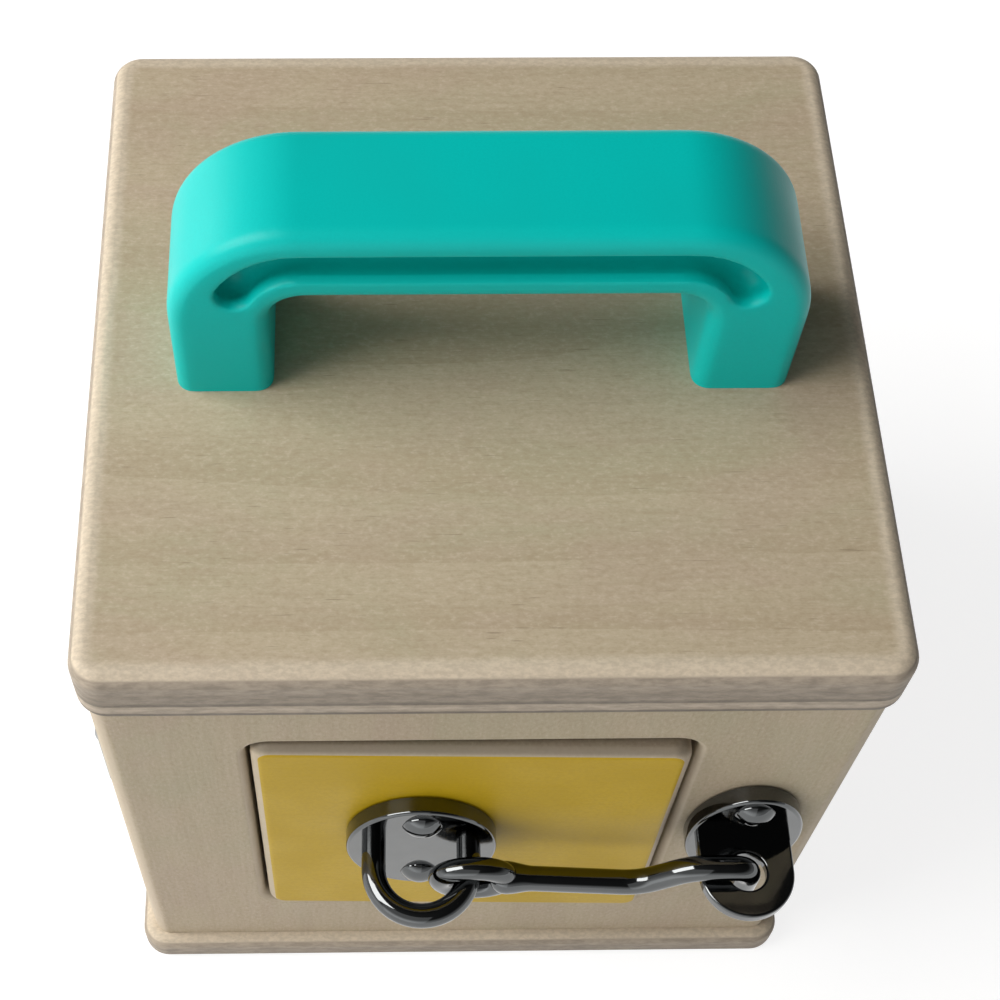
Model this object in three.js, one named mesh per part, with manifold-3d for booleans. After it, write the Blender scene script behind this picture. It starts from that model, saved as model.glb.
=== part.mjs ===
// A wooden toy lock box: a board-and-wall box with a moulded carrying handle on its lid and a hinged
// door in each of its four sides. Every door has another fastening: a hook, a barrel bolt, a wooden
// slide bar and a turn button.
//
// Millimetres, +Z up. The origin is the middle of the underside, and the hook's door faces -Y.
import * as THREE from 'three';
import { mergeVertices } from 'three/addons/utils/BufferGeometryUtils.js';
import Module from 'manifold-3d';

const wasm = await Module();
wasm.setup();

// Walls
const bodyWidth = 147;
const bodyDepth = 145;
const wallHeight = 126;
const wallThick = 12;
const wallCorner = 4;

// Boards under and over the walls
const baseThick = 10;
const baseOverhang = 3;
const baseEdge = 3;
const lidThick = 16;
const lidOverhang = 1.5;
const lidEdge = 3.2;
const boardCorner = 6;

// Doorways, the same in all four walls: the shift is towards the hinge
const doorwayWidth = 86.3;
const doorwayHeight = 88.8;
const doorwaySill = 23;
const doorwayShift = 2.5;
const doorwayCorner = 5;
const doorwayEdge = 2;

// Doors: the front one rests slightly ajar, by the slack of its hook
const doorThick = 12;
const doorProud = 1.2;
const doorEdge = 2.5;
const doorBackEdge = 1;
const doorCorner = 4;
const doorHingeGap = 0.9;
const doorLatchGap = 1.3;
const doorHeadGap = 1;
const doorFootGap = 1;
const doorAjarDegrees = 1;

// Hidden pins that the doors swing on
const pinRadius = 1.5;
const pinInset = 5;
const pinDepth = 4.2;
const pinGrip = 8;

// Clearances: round pieces in their bores, plates on what they are screwed to, and sliding pieces
const boreGap = 0.3;
const seatGap = 0.3;
const slideGap = 0.5;

// Carrying handle
const handleLength = 116;
const handleDepth = 26.2;
const handleHeight = 44.3;
const handleLeg = 18.4;
const handleBar = 17;
const handleOuterCorner = 24;
const handleInnerCorner = 7;
const handleEdge = 3.2;
const grooveRadius = 3.45;
const grooveSink = 2;
const grooveDrop = 8.25;
const grooveInset = 10.95;
const grooveBend = 13.55;
const grooveEndDegrees = 27;

// Screws with domed heads, and the countersunk ones under the base
const screwHeadRadius = 4.1;
const screwHeadRise = 2.2;
const screwShankRadius = 1.7;
const screwLength = 12;
const smallHeadRadius = 2.9;
const smallHeadRise = 1.7;
const handleScrewRadius = 2;
const handleScrewHeadRadius = 4.5;
const handleScrewHeadRise = 2.8;
const handleScrewGrip = 14;
const baseScrewRadius = 2;
const baseScrewHeadRadius = 4;
const baseScrewSink = 0.5;
const baseScrewLength = 32;
const baseScrewSpread = 112;

// Dowels between the lid and the front and back walls
const dowelRadius = 4;
const dowelLength = 24;
const dowelSpread = 128;

// All four fastenings lie at this height above the base board
const latchRise = 70;

// Hook plate and bail, on the front door
const hookPlateShift = -11.3;
const hookPlateWidth = 31;
const hookPlateHeight = 40;
const plateThick = 3.5;
const plateRim = 1.4;
const hookScrewRise = 13;
const bailRadius = 2.5;
const bailSpan = 19.5;
const bailReach = 16.6;

// Hook
const hookRadius = 2.6;
const hookPlane = 11.6;
const hookEyeRadius = 5.5;
const hookEyeTube = 2.35;
const hookEyeDrop = 0.1;
const hookNeckRadius = 3.4;
const hookNeckTaper = 0.82;
const hookNeckLength = 4.4;
const hookDip = 4;
const hookCrankFoot = 21.7;
const hookCrankHead = 11.5;
const hookLift = 3.2;
const hookSlope = 0.6;
const hookBend = 4;
const hookTipBelow = 2.5;

// Keeper that the hook drops into
const keeperShift = 55.2;
const keeperWidth = 23.5;
const keeperHeight = 40;
const keeperScrewRise = 13.5;
const tongueWidth = 19.4;
const tongueThick = 3;
const tongueRise = 0.8;
const tongueReach = 17;
const tongueHoleRadius = 4;
const tongueEdge = 0.6;

// Barrel bolt, on the right door
const boltRadius = 3;
const boltLength = 44;
const boltSetBack = 2.2;
const boltPlateLength = 43;
const boltPlateHeight = 25;
const boltPlateThick = 1.6;
const boltPlateCorner = 3;
const boltAxisRise = 4.6;
const boltStrapWidth = 7;
const boltStrapWall = 1.5;
const boltStrapEnd = 1.5;
const boltScrewRise = 8.8;
const boltKnobRadius = 3.6;
const boltKnobStem = 1.9;
const boltKnobReach = 9.5;
const boltKeeperLength = 12;
const boltKeeperShift = 7;

// Turn button, on the left wall
const buttonLength = 36;
const buttonWidth = 13;
const buttonThick = 3;
const buttonEdge = 1.2;
const buttonHubRadius = 5;
const buttonLift = 0.6;
const buttonShift = 10;
const buttonScrewLength = 16;

// Wooden slide bar, on the back door
const barLength = 62;
const barHeight = 14;
const barThick = 8;
const barEdge = 1.2;
const barSetBack = 3.4;
const barPegRadius = 4;
const barPegReach = 13;
const guideWidth = 10;
const guideHeight = 30;
const guideCover = 5;
const guideEdge = 1.2;
const guideSpan = 44;
const guideSetBack = 4.4;
const guideWallShift = 9.5;

// Facets
const cornerSteps = 4;
const edgeSteps = 3;
const boreSides = 12;
const rodSides = 12;
const ovalSides = 36;

// Places that follow from the sizes above
const wallTop = baseThick + wallHeight;
const lidTop = wallTop + lidThick;
const latchHeight = baseThick + latchRise;
const doorwayLeft = -doorwayWidth / 2 - doorwayShift;
const doorwayRight = doorwayLeft + doorwayWidth;
const doorwayFoot = baseThick + doorwaySill;
const doorwayHead = doorwayFoot + doorwayHeight;
const doorLeft = doorwayLeft + doorHingeGap;
const doorRight = doorwayRight - doorLatchGap;
const doorFoot = doorwayFoot + doorFootGap;
const doorHead = doorwayHead - doorHeadGap;
const doorFace = -doorProud;
const pinAcross = doorLeft + pinInset;
const pinIn = doorFace + pinDepth;

// Finishes
function finish(color, roughness, metalness) {
  return new THREE.MeshStandardMaterial({ color, roughness, metalness });
}

const bareWood = finish(0xd3bd9b, 0.6, 0);
const yellowPaint = finish(0xd8b637, 0.45, 0);
const redPaint = finish(0xc8402f, 0.45, 0);
const bluePaint = finish(0x2f6fb5, 0.45, 0);
const greenPaint = finish(0x4a9a4c, 0.45, 0);
const turquoisePlastic = finish(0x0cbcae, 0.35, 0);
const nickel = finish(0x808080, 0.12, 1);
const steel = finish(0x8d8f90, 0.35, 1);

// Closed geometry with shared corners and its faces pointing out
function closed(geometry) {
  const bare = geometry.clone();
  bare.deleteAttribute('normal');
  bare.deleteAttribute('uv');
  const joined = mergeVertices(bare, 1e-4);
  const at = joined.getAttribute('position');
  const index = Array.from(joined.getIndex().array);
  const [a, b, c] = [new THREE.Vector3(), new THREE.Vector3(), new THREE.Vector3()];
  let volume = 0;
  for (let i = 0; i < index.length; i += 3) {
    a.fromBufferAttribute(at, index[i]);
    b.fromBufferAttribute(at, index[i + 1]);
    c.fromBufferAttribute(at, index[i + 2]);
    volume += a.dot(b.cross(c));
  }
  if (volume < 0) index.reverse();
  joined.setIndex(index);
  return joined;
}

function solid(geometry) {
  const mesh = closed(geometry);
  return new wasm.Manifold(new wasm.Mesh({
    numProp: 3,
    vertProperties: Float32Array.from(mesh.getAttribute('position').array),
    triVerts: Uint32Array.from(mesh.getIndex().array),
  }));
}

function geometryOf(body) {
  const mesh = body.getMesh();
  const geometry = new THREE.BufferGeometry();
  geometry.setAttribute('position', new THREE.BufferAttribute(Float32Array.from(mesh.vertProperties), 3));
  geometry.setIndex(Array.from(mesh.triVerts));
  geometry.computeVertexNormals();
  return geometry;
}

const joined = (first, ...rest) => geometryOf(rest.reduce((sum, g) => sum.add(solid(g)), solid(first)));
const cut = (first, ...tools) => geometryOf(tools.reduce((sum, g) => sum.subtract(solid(g)), solid(first)));

// Outlines, anticlockwise, drawn a given distance inside their full size
function rectangleOutline(width, height, corner) {
  return (inset) => {
    const radius = Math.max(corner - inset, 0.05);
    const across = width / 2 - inset - radius;
    const up = height / 2 - inset - radius;
    const points = [];
    for (let quarter = 0; quarter < 4; quarter += 1) {
      const centreX = quarter === 0 || quarter === 3 ? across : -across;
      const centreY = quarter < 2 ? up : -up;
      for (let step = 0; step <= cornerSteps; step += 1) {
        const angle = (quarter + step / cornerSteps) * Math.PI / 2;
        const x = centreX + radius * Math.cos(angle);
        const y = centreY + radius * Math.sin(angle);
        points.push(new THREE.Vector2(x, y));
      }
    }
    return points;
  };
}

function ovalOutline(width, height) {
  return (inset) => Array.from({ length: ovalSides }, (_, step) => {
    const angle = step / ovalSides * Math.PI * 2;
    const x = (width / 2 - inset) * Math.cos(angle);
    const y = (height / 2 - inset) * Math.sin(angle);
    return new THREE.Vector2(x, y);
  });
}

// A skin through level outlines of equal counts, closed flat at both ends: rings are [inset, level]
function loft(outline, rings) {
  const positions = [];
  const index = [];
  const loops = rings.map(([inset, level]) => outline(inset).map((p) => [p.x, p.y, level]));
  const count = loops[0].length;
  loops.forEach((loop) => loop.forEach((point) => positions.push(...point)));
  for (let ring = 0; ring + 1 < loops.length; ring += 1) {
    for (let i = 0; i < count; i += 1) {
      const next = (i + 1) % count;
      const low = ring * count;
      const high = low + count;
      index.push(low + i, low + next, high + next, low + i, high + next, high + i);
    }
  }
  const last = (loops.length - 1) * count;
  for (let i = 1; i + 1 < count; i += 1) {
    index.push(0, i + 1, i);
    index.push(last, last + i, last + i + 1);
  }
  const geometry = new THREE.BufferGeometry();
  geometry.setAttribute('position', new THREE.Float32BufferAttribute(positions, 3));
  geometry.setIndex(index);
  return geometry;
}

// A slab from level 0 to its thickness, with its lower and upper rims rounded
function slab(outline, thick, lowerEdge, upperEdge) {
  const rings = [];
  const quarter = Array.from({ length: edgeSteps + 1 }, (_, step) => step / edgeSteps * Math.PI / 2);
  quarter.forEach((a) => rings.push([lowerEdge * (1 - Math.sin(a)), lowerEdge * (1 - Math.cos(a))]));
  quarter.reverse();
  quarter.forEach((a) => rings.push([upperEdge * (1 - Math.sin(a)), thick - upperEdge * (1 - Math.cos(a))]));
  const distinct = rings.filter(([inset, level], i) => i === 0
    || Math.hypot(inset - rings[i - 1][0], level - rings[i - 1][1]) > 1e-3);
  return loft(outline, distinct);
}

// Stands a flat piece up against a wall: its outline is seen from outside, its thickness grows outwards
const upright = (geometry) => geometry.rotateX(Math.PI / 2);

function cylinder(radius, from, to) {
  const direction = new THREE.Vector3().subVectors(to, from);
  const geometry = new THREE.CylinderGeometry(radius, radius, direction.length(), boreSides);
  const turn = new THREE.Quaternion();
  turn.setFromUnitVectors(new THREE.Vector3(0, 1, 0), direction.clone().normalize());
  geometry.applyQuaternion(turn);
  const middle = new THREE.Vector3().addVectors(from, to).multiplyScalar(0.5);
  return geometry.translate(middle.x, middle.y, middle.z);
}

const at = (x, y, z) => new THREE.Vector3(x, y, z);

// A flat path carried into space, for round rods that follow it
class Route extends THREE.Curve {
  constructor(path, toSpace) {
    super();
    this.path = path;
    this.toSpace = toSpace;
  }

  getPoint(t) {
    const point = this.path.getPointAt(t);
    return this.toSpace(point.x, point.y);
  }
}

function rod(route, radius, steps) {
  const section = new THREE.Shape();
  section.absarc(0, 0, radius, 0, Math.PI * 2);
  const options = { steps, extrudePath: route, curveSegments: rodSides / 2, bevelEnabled: false };
  return new THREE.ExtrudeGeometry(section, options);
}

// A path through points with each inner corner bent round
function bentPath(points, bend) {
  const path = new THREE.Path();
  path.moveTo(points[0].x, points[0].y);
  for (let i = 1; i + 1 < points.length; i += 1) {
    const before = points[i - 1].clone().sub(points[i]).setLength(bend).add(points[i]);
    const after = points[i + 1].clone().sub(points[i]).setLength(bend).add(points[i]);
    path.lineTo(before.x, before.y);
    path.quadraticCurveTo(points[i].x, points[i].y, after.x, after.y);
  }
  const end = points[points.length - 1];
  path.lineTo(end.x, end.y);
  return path;
}

// A turned piece about an outward axis: the profile is [radius, distance outwards] from end to end
function turned(profile) {
  const points = profile.map(([radius, out]) => new THREE.Vector2(radius, -out));
  return closed(new THREE.LatheGeometry(points, boreSides));
}

function domedScrew(headRadius, headRise, length) {
  const profile = [[0, -length], [screwShankRadius, -length], [screwShankRadius, 0], [headRadius, 0]];
  const ball = (headRadius ** 2 + headRise ** 2) / (2 * headRise);
  const rim = Math.asin(headRadius / ball);
  for (let step = 1; step <= edgeSteps; step += 1) {
    const angle = rim * (1 - step / edgeSteps);
    profile.push([ball * Math.sin(angle), headRise - ball * (1 - Math.cos(angle))]);
  }
  return turned(profile);
}

// The hole of such a screw, from well outside its seat to just past its tip
const screwBore = (x, z, seat, length) => cylinder(
  screwShankRadius + boreGap,
  at(x, seat - length, z),
  at(x, seat + length, z),
);

// The model, with one group for each side: inside it the wall's outer face is y = 0 and -y is outwards
const lockBox = new THREE.Group();
lockBox.name = 'lock_box';

function addTo(parent, name, geometry, material) {
  const mesh = new THREE.Mesh(geometry, material);
  mesh.name = name;
  parent.add(mesh);
  return mesh;
}

function sideGroup(quarterTurns, distance) {
  const group = new THREE.Group();
  const yaw = quarterTurns * Math.PI / 2;
  group.rotation.z = yaw;
  group.position.set(Math.sin(yaw) * distance, -Math.cos(yaw) * distance, 0);
  lockBox.add(group);
  return group;
}

const front = sideGroup(0, bodyDepth / 2);
const right = sideGroup(1, bodyWidth / 2);
const back = sideGroup(2, bodyDepth / 2);
const left = sideGroup(3, bodyWidth / 2);

// Base board, with countersunk holes for the screws that hold the front and back walls
const baseScrewPlaces = [-1, 1].flatMap((across) => [-1, 1].map((along) => ({
  name: `base_screw_${along < 0 ? 'front' : 'back'}_${across < 0 ? 'left' : 'right'}`,
  x: across * baseScrewSpread / 2,
  y: along * (bodyDepth - wallThick) / 2,
})));

// The screw's profile from its tip to the flat of its head, grown by the gap that its hole leaves
function baseScrew(gap) {
  const radius = baseScrewRadius + gap;
  const headRadius = baseScrewHeadRadius + gap;
  const tip = baseScrewLength + gap;
  const neck = baseScrewSink + baseScrewHeadRadius - baseScrewRadius;
  const headFace = gap > 0 ? -gap : baseScrewSink;
  const head = [[0, headFace], [headRadius, headFace], [headRadius, baseScrewSink]];
  const shank = [[radius, neck], [radius, tip], [0, tip]];
  const points = [...head, ...shank].map(([r, z]) => new THREE.Vector2(r, z));
  const distinct = points.filter((p, i) => i === 0 || p.distanceTo(points[i - 1]) > 1e-6);
  return closed(new THREE.LatheGeometry(distinct, boreSides).rotateX(Math.PI / 2));
}

const baseScrewHoles = () => baseScrewPlaces.map(({ x, y }) => baseScrew(boreGap).translate(x, y, 0));
const baseOutline = rectangleOutline(bodyWidth + 2 * baseOverhang, bodyDepth + 2 * baseOverhang, boardCorner);
const baseSlab = slab(baseOutline, baseThick, baseEdge, baseEdge);
addTo(lockBox, 'base_board', cut(baseSlab, ...baseScrewHoles()), bareWood);
baseScrewPlaces.forEach(({ name, x, y }) => addTo(lockBox, name, baseScrew(0).translate(x, y, 0), steel));

// Lid board, with blind holes for the dowels and through holes for the handle's screws
const dowelPlaces = [-1, 1].flatMap((across) => [-1, 1].map((along) => ({
  name: `lid_dowel_${along < 0 ? 'front' : 'back'}_${across < 0 ? 'left' : 'right'}`,
  x: across * dowelSpread / 2,
  y: along * (bodyDepth - wallThick) / 2,
})));
const dowel = (x, y, gap) => cylinder(
  dowelRadius + gap,
  at(x, y, wallTop - dowelLength / 2 - gap),
  at(x, y, wallTop + dowelLength / 2 + gap),
);
const dowelHoles = () => dowelPlaces.map(({ x, y }) => dowel(x, y, boreGap));

const handleFoot = (handleLength - handleLeg) / 2;
const handleScrewPlaces = [['left', -handleFoot], ['right', handleFoot]];
const handleScrewHole = (x) => cylinder(
  handleScrewRadius + boreGap,
  at(x, 0, wallTop - lidThick),
  at(x, 0, lidTop + handleScrewGrip + boreGap),
);
const lidOutline = rectangleOutline(bodyWidth + 2 * lidOverhang, bodyDepth + 2 * lidOverhang, boardCorner);
const lidHoles = handleScrewPlaces.map(([, x]) => handleScrewHole(x));
const lidSlab = slab(lidOutline, lidThick, lidEdge, lidEdge).translate(0, 0, wallTop);
addTo(lockBox, 'lid_board', cut(lidSlab, ...lidHoles, ...dowelHoles()), bareWood);
dowelPlaces.forEach(({ name, x, y }) => addTo(lockBox, name, dowel(x, y, 0), bareWood));

// Handle: an arch with rounded edges, and a deep finger groove that follows the arch on both faces
function handleArch() {
  const half = handleLength / 2;
  const inner = half - handleLeg;
  const top = handleHeight;
  const under = handleHeight - handleBar;
  const foot = -2 * handleEdge;
  const outerRound = handleOuterCorner;
  const innerRound = handleInnerCorner;
  const arch = new THREE.Shape();
  arch.moveTo(half, foot);
  arch.lineTo(half, top - outerRound);
  arch.absarc(half - outerRound, top - outerRound, outerRound, 0, Math.PI / 2);
  arch.lineTo(-half + outerRound, top);
  arch.absarc(-half + outerRound, top - outerRound, outerRound, Math.PI / 2, Math.PI);
  arch.lineTo(-half, foot);
  arch.lineTo(-inner, foot);
  arch.lineTo(-inner, under - innerRound);
  arch.absarc(-inner + innerRound, under - innerRound, innerRound, Math.PI, Math.PI / 2, true);
  arch.lineTo(inner - innerRound, under);
  arch.absarc(inner - innerRound, under - innerRound, innerRound, Math.PI / 2, 0, true);
  arch.lineTo(inner, foot);
  const options = {
    depth: handleDepth - 2 * handleEdge,
    curveSegments: 7,
    bevelSegments: edgeSteps,
    bevelThickness: handleEdge,
    bevelSize: handleEdge,
    bevelOffset: -handleEdge,
  };
  const body = new THREE.ExtrudeGeometry(arch, options);
  return upright(body).translate(0, handleDepth / 2 - handleEdge, 0);
}

function handleGroove(face) {
  const level = handleHeight - grooveDrop;
  const bendX = handleLength / 2 - grooveInset - grooveBend;
  const end = grooveEndDegrees * Math.PI / 180;
  const path = new THREE.Path();
  path.absarc(-bendX, level - grooveBend, grooveBend, Math.PI - end, Math.PI / 2, true);
  path.lineTo(bendX, level);
  path.absarc(bendX, level - grooveBend, grooveBend, Math.PI / 2, end, true);
  const rods = [0, grooveSink].flatMap((sink) => {
    const route = new Route(path, (x, z) => at(x, face - Math.sign(face) * sink, z));
    const ends = [0, 1].map((t) => {
      const point = route.getPoint(t);
      const ball = new THREE.SphereGeometry(grooveRadius, rodSides, rodSides / 2);
      return ball.translate(point.x, point.y, point.z);
    });
    return [rod(route, grooveRadius, 36), ...ends];
  });
  return joined(...rods);
}

const belowLid = new THREE.BoxGeometry(2 * handleLength, 2 * handleDepth, handleHeight);
belowLid.translate(0, 0, -handleHeight / 2);
const handleGrooves = [-1, 1].map((way) => handleGroove(way * handleDepth / 2));
const handleBody = cut(handleArch(), belowLid, ...handleGrooves);
const handleHoles = handleScrewPlaces.map(([, x]) => handleScrewHole(x));
addTo(lockBox, 'handle', cut(handleBody.translate(0, 0, lidTop), ...handleHoles), turquoisePlastic);
handleScrewPlaces.forEach(([side, x]) => {
  const head = cylinder(handleScrewHeadRadius, at(x, 0, wallTop - handleScrewHeadRise), at(x, 0, wallTop));
  const shank = cylinder(handleScrewRadius, at(x, 0, wallTop - 1), at(x, 0, lidTop + handleScrewGrip));
  addTo(lockBox, `handle_screw_${side}`, joined(head, shank), steel);
});

// Walls: the front and back ones run the full width, with rounded upright corners, and hold the sides
function doorwayCutter() {
  const flare = Array.from({ length: edgeSteps + 1 }, (_, step) => {
    const angle = step / edgeSteps * Math.PI / 2;
    return [-doorwayEdge * (1 - Math.sin(angle)), -doorwayEdge * (1 - Math.cos(angle))];
  });
  const rings = [[0, -wallThick - doorwayEdge], ...flare.reverse(), [-doorwayEdge, doorwayEdge]];
  const cutter = loft(rectangleOutline(doorwayWidth, doorwayHeight, doorwayCorner), rings);
  return upright(cutter).translate(-doorwayShift, 0, doorwayFoot + doorwayHeight / 2);
}

// The lower and the upper pin, or with a gap the bores that take them
const pinLevels = [
  [baseThick + boreGap, doorFoot + pinGrip],
  [doorHead - pinGrip, wallTop - boreGap],
];
const pinPair = (gap) => pinLevels.map(([low, high]) => cylinder(
  pinRadius + gap,
  at(pinAcross, pinIn, low - gap),
  at(pinAcross, pinIn, high + gap),
));

function wallPanel(length, corner) {
  const plan = new THREE.Shape();
  plan.moveTo(length / 2, wallThick);
  plan.lineTo(-length / 2, wallThick);
  if (corner > 0) {
    plan.lineTo(-length / 2, corner);
    plan.absarc(-length / 2 + corner, corner, corner, Math.PI, Math.PI * 3 / 2);
    plan.lineTo(length / 2 - corner, 0);
    plan.absarc(length / 2 - corner, corner, corner, Math.PI * 3 / 2, Math.PI * 2);
  } else {
    plan.lineTo(-length / 2, 0);
    plan.lineTo(length / 2, 0);
  }
  const options = { depth: wallHeight, curveSegments: cornerSteps / 2, bevelEnabled: false };
  return new THREE.ExtrudeGeometry(plan, options).translate(0, 0, baseThick);
}

function addWall(side, name, length, corner, extraHoles) {
  const panel = wallPanel(length, corner);
  return addTo(side, name, cut(panel, doorwayCutter(), ...pinPair(boreGap), ...extraHoles), bareWood);
}

const innerLength = bodyDepth - 2 * wallThick;
const keeperBack = -seatGap;
const keeperFace = keeperBack - plateThick;
const keeperScrewHoles = [1, -1].map((way) => screwBore(
  keeperShift,
  latchHeight + way * keeperScrewRise,
  keeperFace,
  screwLength,
));
const boltKeeperAcross = doorwayRight + boltKeeperShift + boltKeeperLength / 2;
const boltKeeperBack = -seatGap;
const boltKeeperFace = boltKeeperBack - boltPlateThick;
const boltScrewHoles = (x, face) => [1, -1].map((way) => screwBore(
  x,
  latchHeight + way * boltScrewRise,
  face,
  screwLength,
));
const buttonAcross = doorwayRight + buttonShift;
const buttonBack = doorFace - buttonLift;
const buttonFace = buttonBack - buttonThick;
const buttonHole = () => screwBore(buttonAcross, latchHeight, buttonFace, buttonScrewLength);

// Holes that belong to another group, seen from a side
function seenFrom(side, group, holes) {
  [side, group].forEach((each) => each.updateMatrixWorld(true));
  const toSide = side.matrixWorld.clone().invert().multiply(group.matrixWorld);
  return holes.map((hole) => hole.applyMatrix4(toSide));
}

// What enters the front and back walls: base screws, dowels and, at a narrow box's corner, the sides' screws
const edgeHoles = (side) => [
  ...seenFrom(side, lockBox, [...baseScrewHoles(), ...dowelHoles()]),
  ...seenFrom(side, right, boltScrewHoles(boltKeeperAcross, boltKeeperFace)),
  ...seenFrom(side, left, [buttonHole()]),
];

addWall(front, 'front_wall', bodyWidth, wallCorner, [...edgeHoles(front), ...keeperScrewHoles]);
addWall(back, 'back_wall', bodyWidth, wallCorner, edgeHoles(back));
addWall(right, 'right_wall', innerLength, 0, boltScrewHoles(boltKeeperAcross, boltKeeperFace));
addWall(left, 'left_wall', innerLength, 0, [buttonHole()]);

// Doors on their pins: a leaf group turns about the pins, and holds what is fixed to the door
function addDoor(side, prefix, paint, ajarDegrees, holes) {
  const pivot = new THREE.Group();
  pivot.position.set(pinAcross, pinIn, 0);
  pivot.rotation.z = -ajarDegrees * Math.PI / 180;
  const leaf = new THREE.Group();
  leaf.position.set(-pinAcross, -pinIn, 0);
  pivot.add(leaf);
  side.add(pivot);
  const outline = rectangleOutline(doorRight - doorLeft, doorHead - doorFoot, doorCorner);
  const panel = upright(slab(outline, doorThick, doorBackEdge, doorEdge));
  panel.translate((doorLeft + doorRight) / 2, doorFace + doorThick, (doorFoot + doorHead) / 2);
  addTo(leaf, `${prefix}_door`, cut(panel, ...pinPair(boreGap), ...holes), paint);
  const [lower, upper] = pinPair(0);
  addTo(side, `${prefix}_pin_lower`, lower, steel);
  addTo(side, `${prefix}_pin_upper`, upper, steel);
  return leaf;
}

function addScrew(parent, name, x, z, seat, headRadius, headRise, length) {
  const screw = domedScrew(headRadius, headRise, length);
  addTo(parent, name, screw.translate(x, seat - seatGap, z), nickel);
}

const ways = [['upper', 1], ['lower', -1]];

// Front: an oval plate with a round bail holds the hook's eye, and the keeper stands on the wall
const hookPlateBack = doorFace - seatGap;
const hookPlateFace = hookPlateBack - plateThick;
const hookScrewHoles = ways.map(([, way]) => screwBore(
  hookPlateShift,
  latchHeight + way * hookScrewRise,
  hookPlateFace,
  screwLength,
));
const frontLeaf = addDoor(front, 'front', yellowPaint, doorAjarDegrees, hookScrewHoles);

const bailLegs = [-1, 1].map((way) => hookPlateShift + way * bailSpan / 2);
const bailHoles = bailLegs.map((x) => cylinder(
  bailRadius + boreGap,
  at(x, hookPlateFace - plateThick, latchHeight),
  at(x, hookPlateBack + plateThick, latchHeight),
));
const hookOval = slab(ovalOutline(hookPlateWidth, hookPlateHeight), plateThick, 0, plateRim);
const hookPlate = upright(hookOval).translate(hookPlateShift, hookPlateBack, latchHeight);
addTo(frontLeaf, 'hook_plate', cut(hookPlate, ...hookScrewHoles, ...bailHoles), nickel);
ways.forEach(([place, way]) => {
  const z = latchHeight + way * hookScrewRise;
  const name = `hook_plate_screw_${place}`;
  addScrew(frontLeaf, name, hookPlateShift, z, hookPlateFace, screwHeadRadius, screwHeadRise, screwLength);
});

const bailPath = new THREE.Path();
const bailTurn = bailReach - bailRadius - bailSpan / 2;
bailPath.moveTo(-bailSpan / 2, -plateThick);
bailPath.lineTo(-bailSpan / 2, bailTurn);
bailPath.absarc(0, bailTurn, bailSpan / 2, Math.PI, 0, true);
bailPath.lineTo(bailSpan / 2, -plateThick);
const bailRoute = new Route(bailPath, (x, out) => at(hookPlateShift + x, hookPlateFace - out, latchHeight));
addTo(frontLeaf, 'hook_bail', closed(rod(bailRoute, bailRadius, 32)), nickel);

// The eye hangs on the bail's outer leg where that stands with the door ajar
const ajar = doorAjarDegrees * Math.PI / 180;
const legAcross = bailLegs[1] - pinAcross;
const eyeAcross = pinAcross + legAcross / Math.cos(ajar) - (hookPlane + pinIn) * Math.tan(ajar);
const eye = at(eyeAcross, -hookPlane, latchHeight - hookEyeDrop);
const tongueTop = latchHeight + tongueRise;
const hookEnd = tongueTop + hookLift;
const hookCorners = [
  new THREE.Vector2(eye.x + hookEyeRadius, eye.z),
  new THREE.Vector2(keeperShift - hookCrankFoot, eye.z - hookDip),
  new THREE.Vector2(keeperShift - hookCrankHead, hookEnd + hookSlope),
  new THREE.Vector2(keeperShift, hookEnd),
  new THREE.Vector2(keeperShift, tongueTop - tongueThick - hookTipBelow),
];
const hookRoute = new Route(bentPath(hookCorners, hookBend), (x, z) => at(x, eye.y, z));
const hookRing = new THREE.TorusGeometry(hookEyeRadius, hookEyeTube, rodSides, 24).rotateX(Math.PI / 2);
const neckEnd = hookNeckRadius * hookNeckTaper;
const hookNeck = new THREE.CylinderGeometry(neckEnd, hookNeckRadius, hookNeckLength, boreSides);
const hookFall = Math.atan2(hookDip, hookCorners[1].x - hookCorners[0].x);
hookNeck.translate(0, hookNeckLength / 2, 0).rotateZ(-Math.PI / 2).rotateY(hookFall);
hookNeck.translate(hookCorners[0].x, eye.y, hookCorners[0].y);
const hookTip = new THREE.SphereGeometry(hookRadius, rodSides, rodSides / 2);
hookTip.translate(keeperShift, eye.y, hookCorners[4].y);
hookRing.translate(eye.x, eye.y, eye.z);
const hookBar = rod(hookRoute, hookRadius, 44);
addTo(front, 'hook', joined(hookRing, hookBar, hookNeck, hookTip), nickel);

function keeperTongue() {
  const half = tongueWidth / 2;
  const turn = tongueReach - half;
  const plan = new THREE.Shape();
  plan.moveTo(-half, -plateThick / 2);
  plan.lineTo(half, -plateThick / 2);
  plan.lineTo(half, turn);
  plan.absarc(0, turn, half, 0, Math.PI);
  const hole = new THREE.Path();
  hole.absarc(0, turn, tongueHoleRadius, 0, Math.PI * 2, true);
  plan.holes.push(hole);
  const options = {
    depth: tongueThick - 2 * tongueEdge,
    curveSegments: boreSides / 2 + 2,
    bevelSegments: 2,
    bevelThickness: tongueEdge,
    bevelSize: tongueEdge,
    bevelOffset: -tongueEdge,
  };
  const tongue = new THREE.ExtrudeGeometry(plan, options).rotateX(Math.PI);
  return tongue.translate(keeperShift, keeperFace, tongueTop - tongueEdge);
}
const keeperOval = slab(ovalOutline(keeperWidth, keeperHeight), plateThick, 0, plateRim);
const keeperPlate = upright(keeperOval).translate(keeperShift, keeperBack, latchHeight);
addTo(front, 'hook_keeper', cut(joined(keeperPlate, keeperTongue()), ...keeperScrewHoles), nickel);
ways.forEach(([place, way]) => {
  const z = latchHeight + way * keeperScrewRise;
  const name = `keeper_screw_${place}`;
  addScrew(front, name, keeperShift, z, keeperFace, screwHeadRadius, screwHeadRise, screwLength);
});

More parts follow.
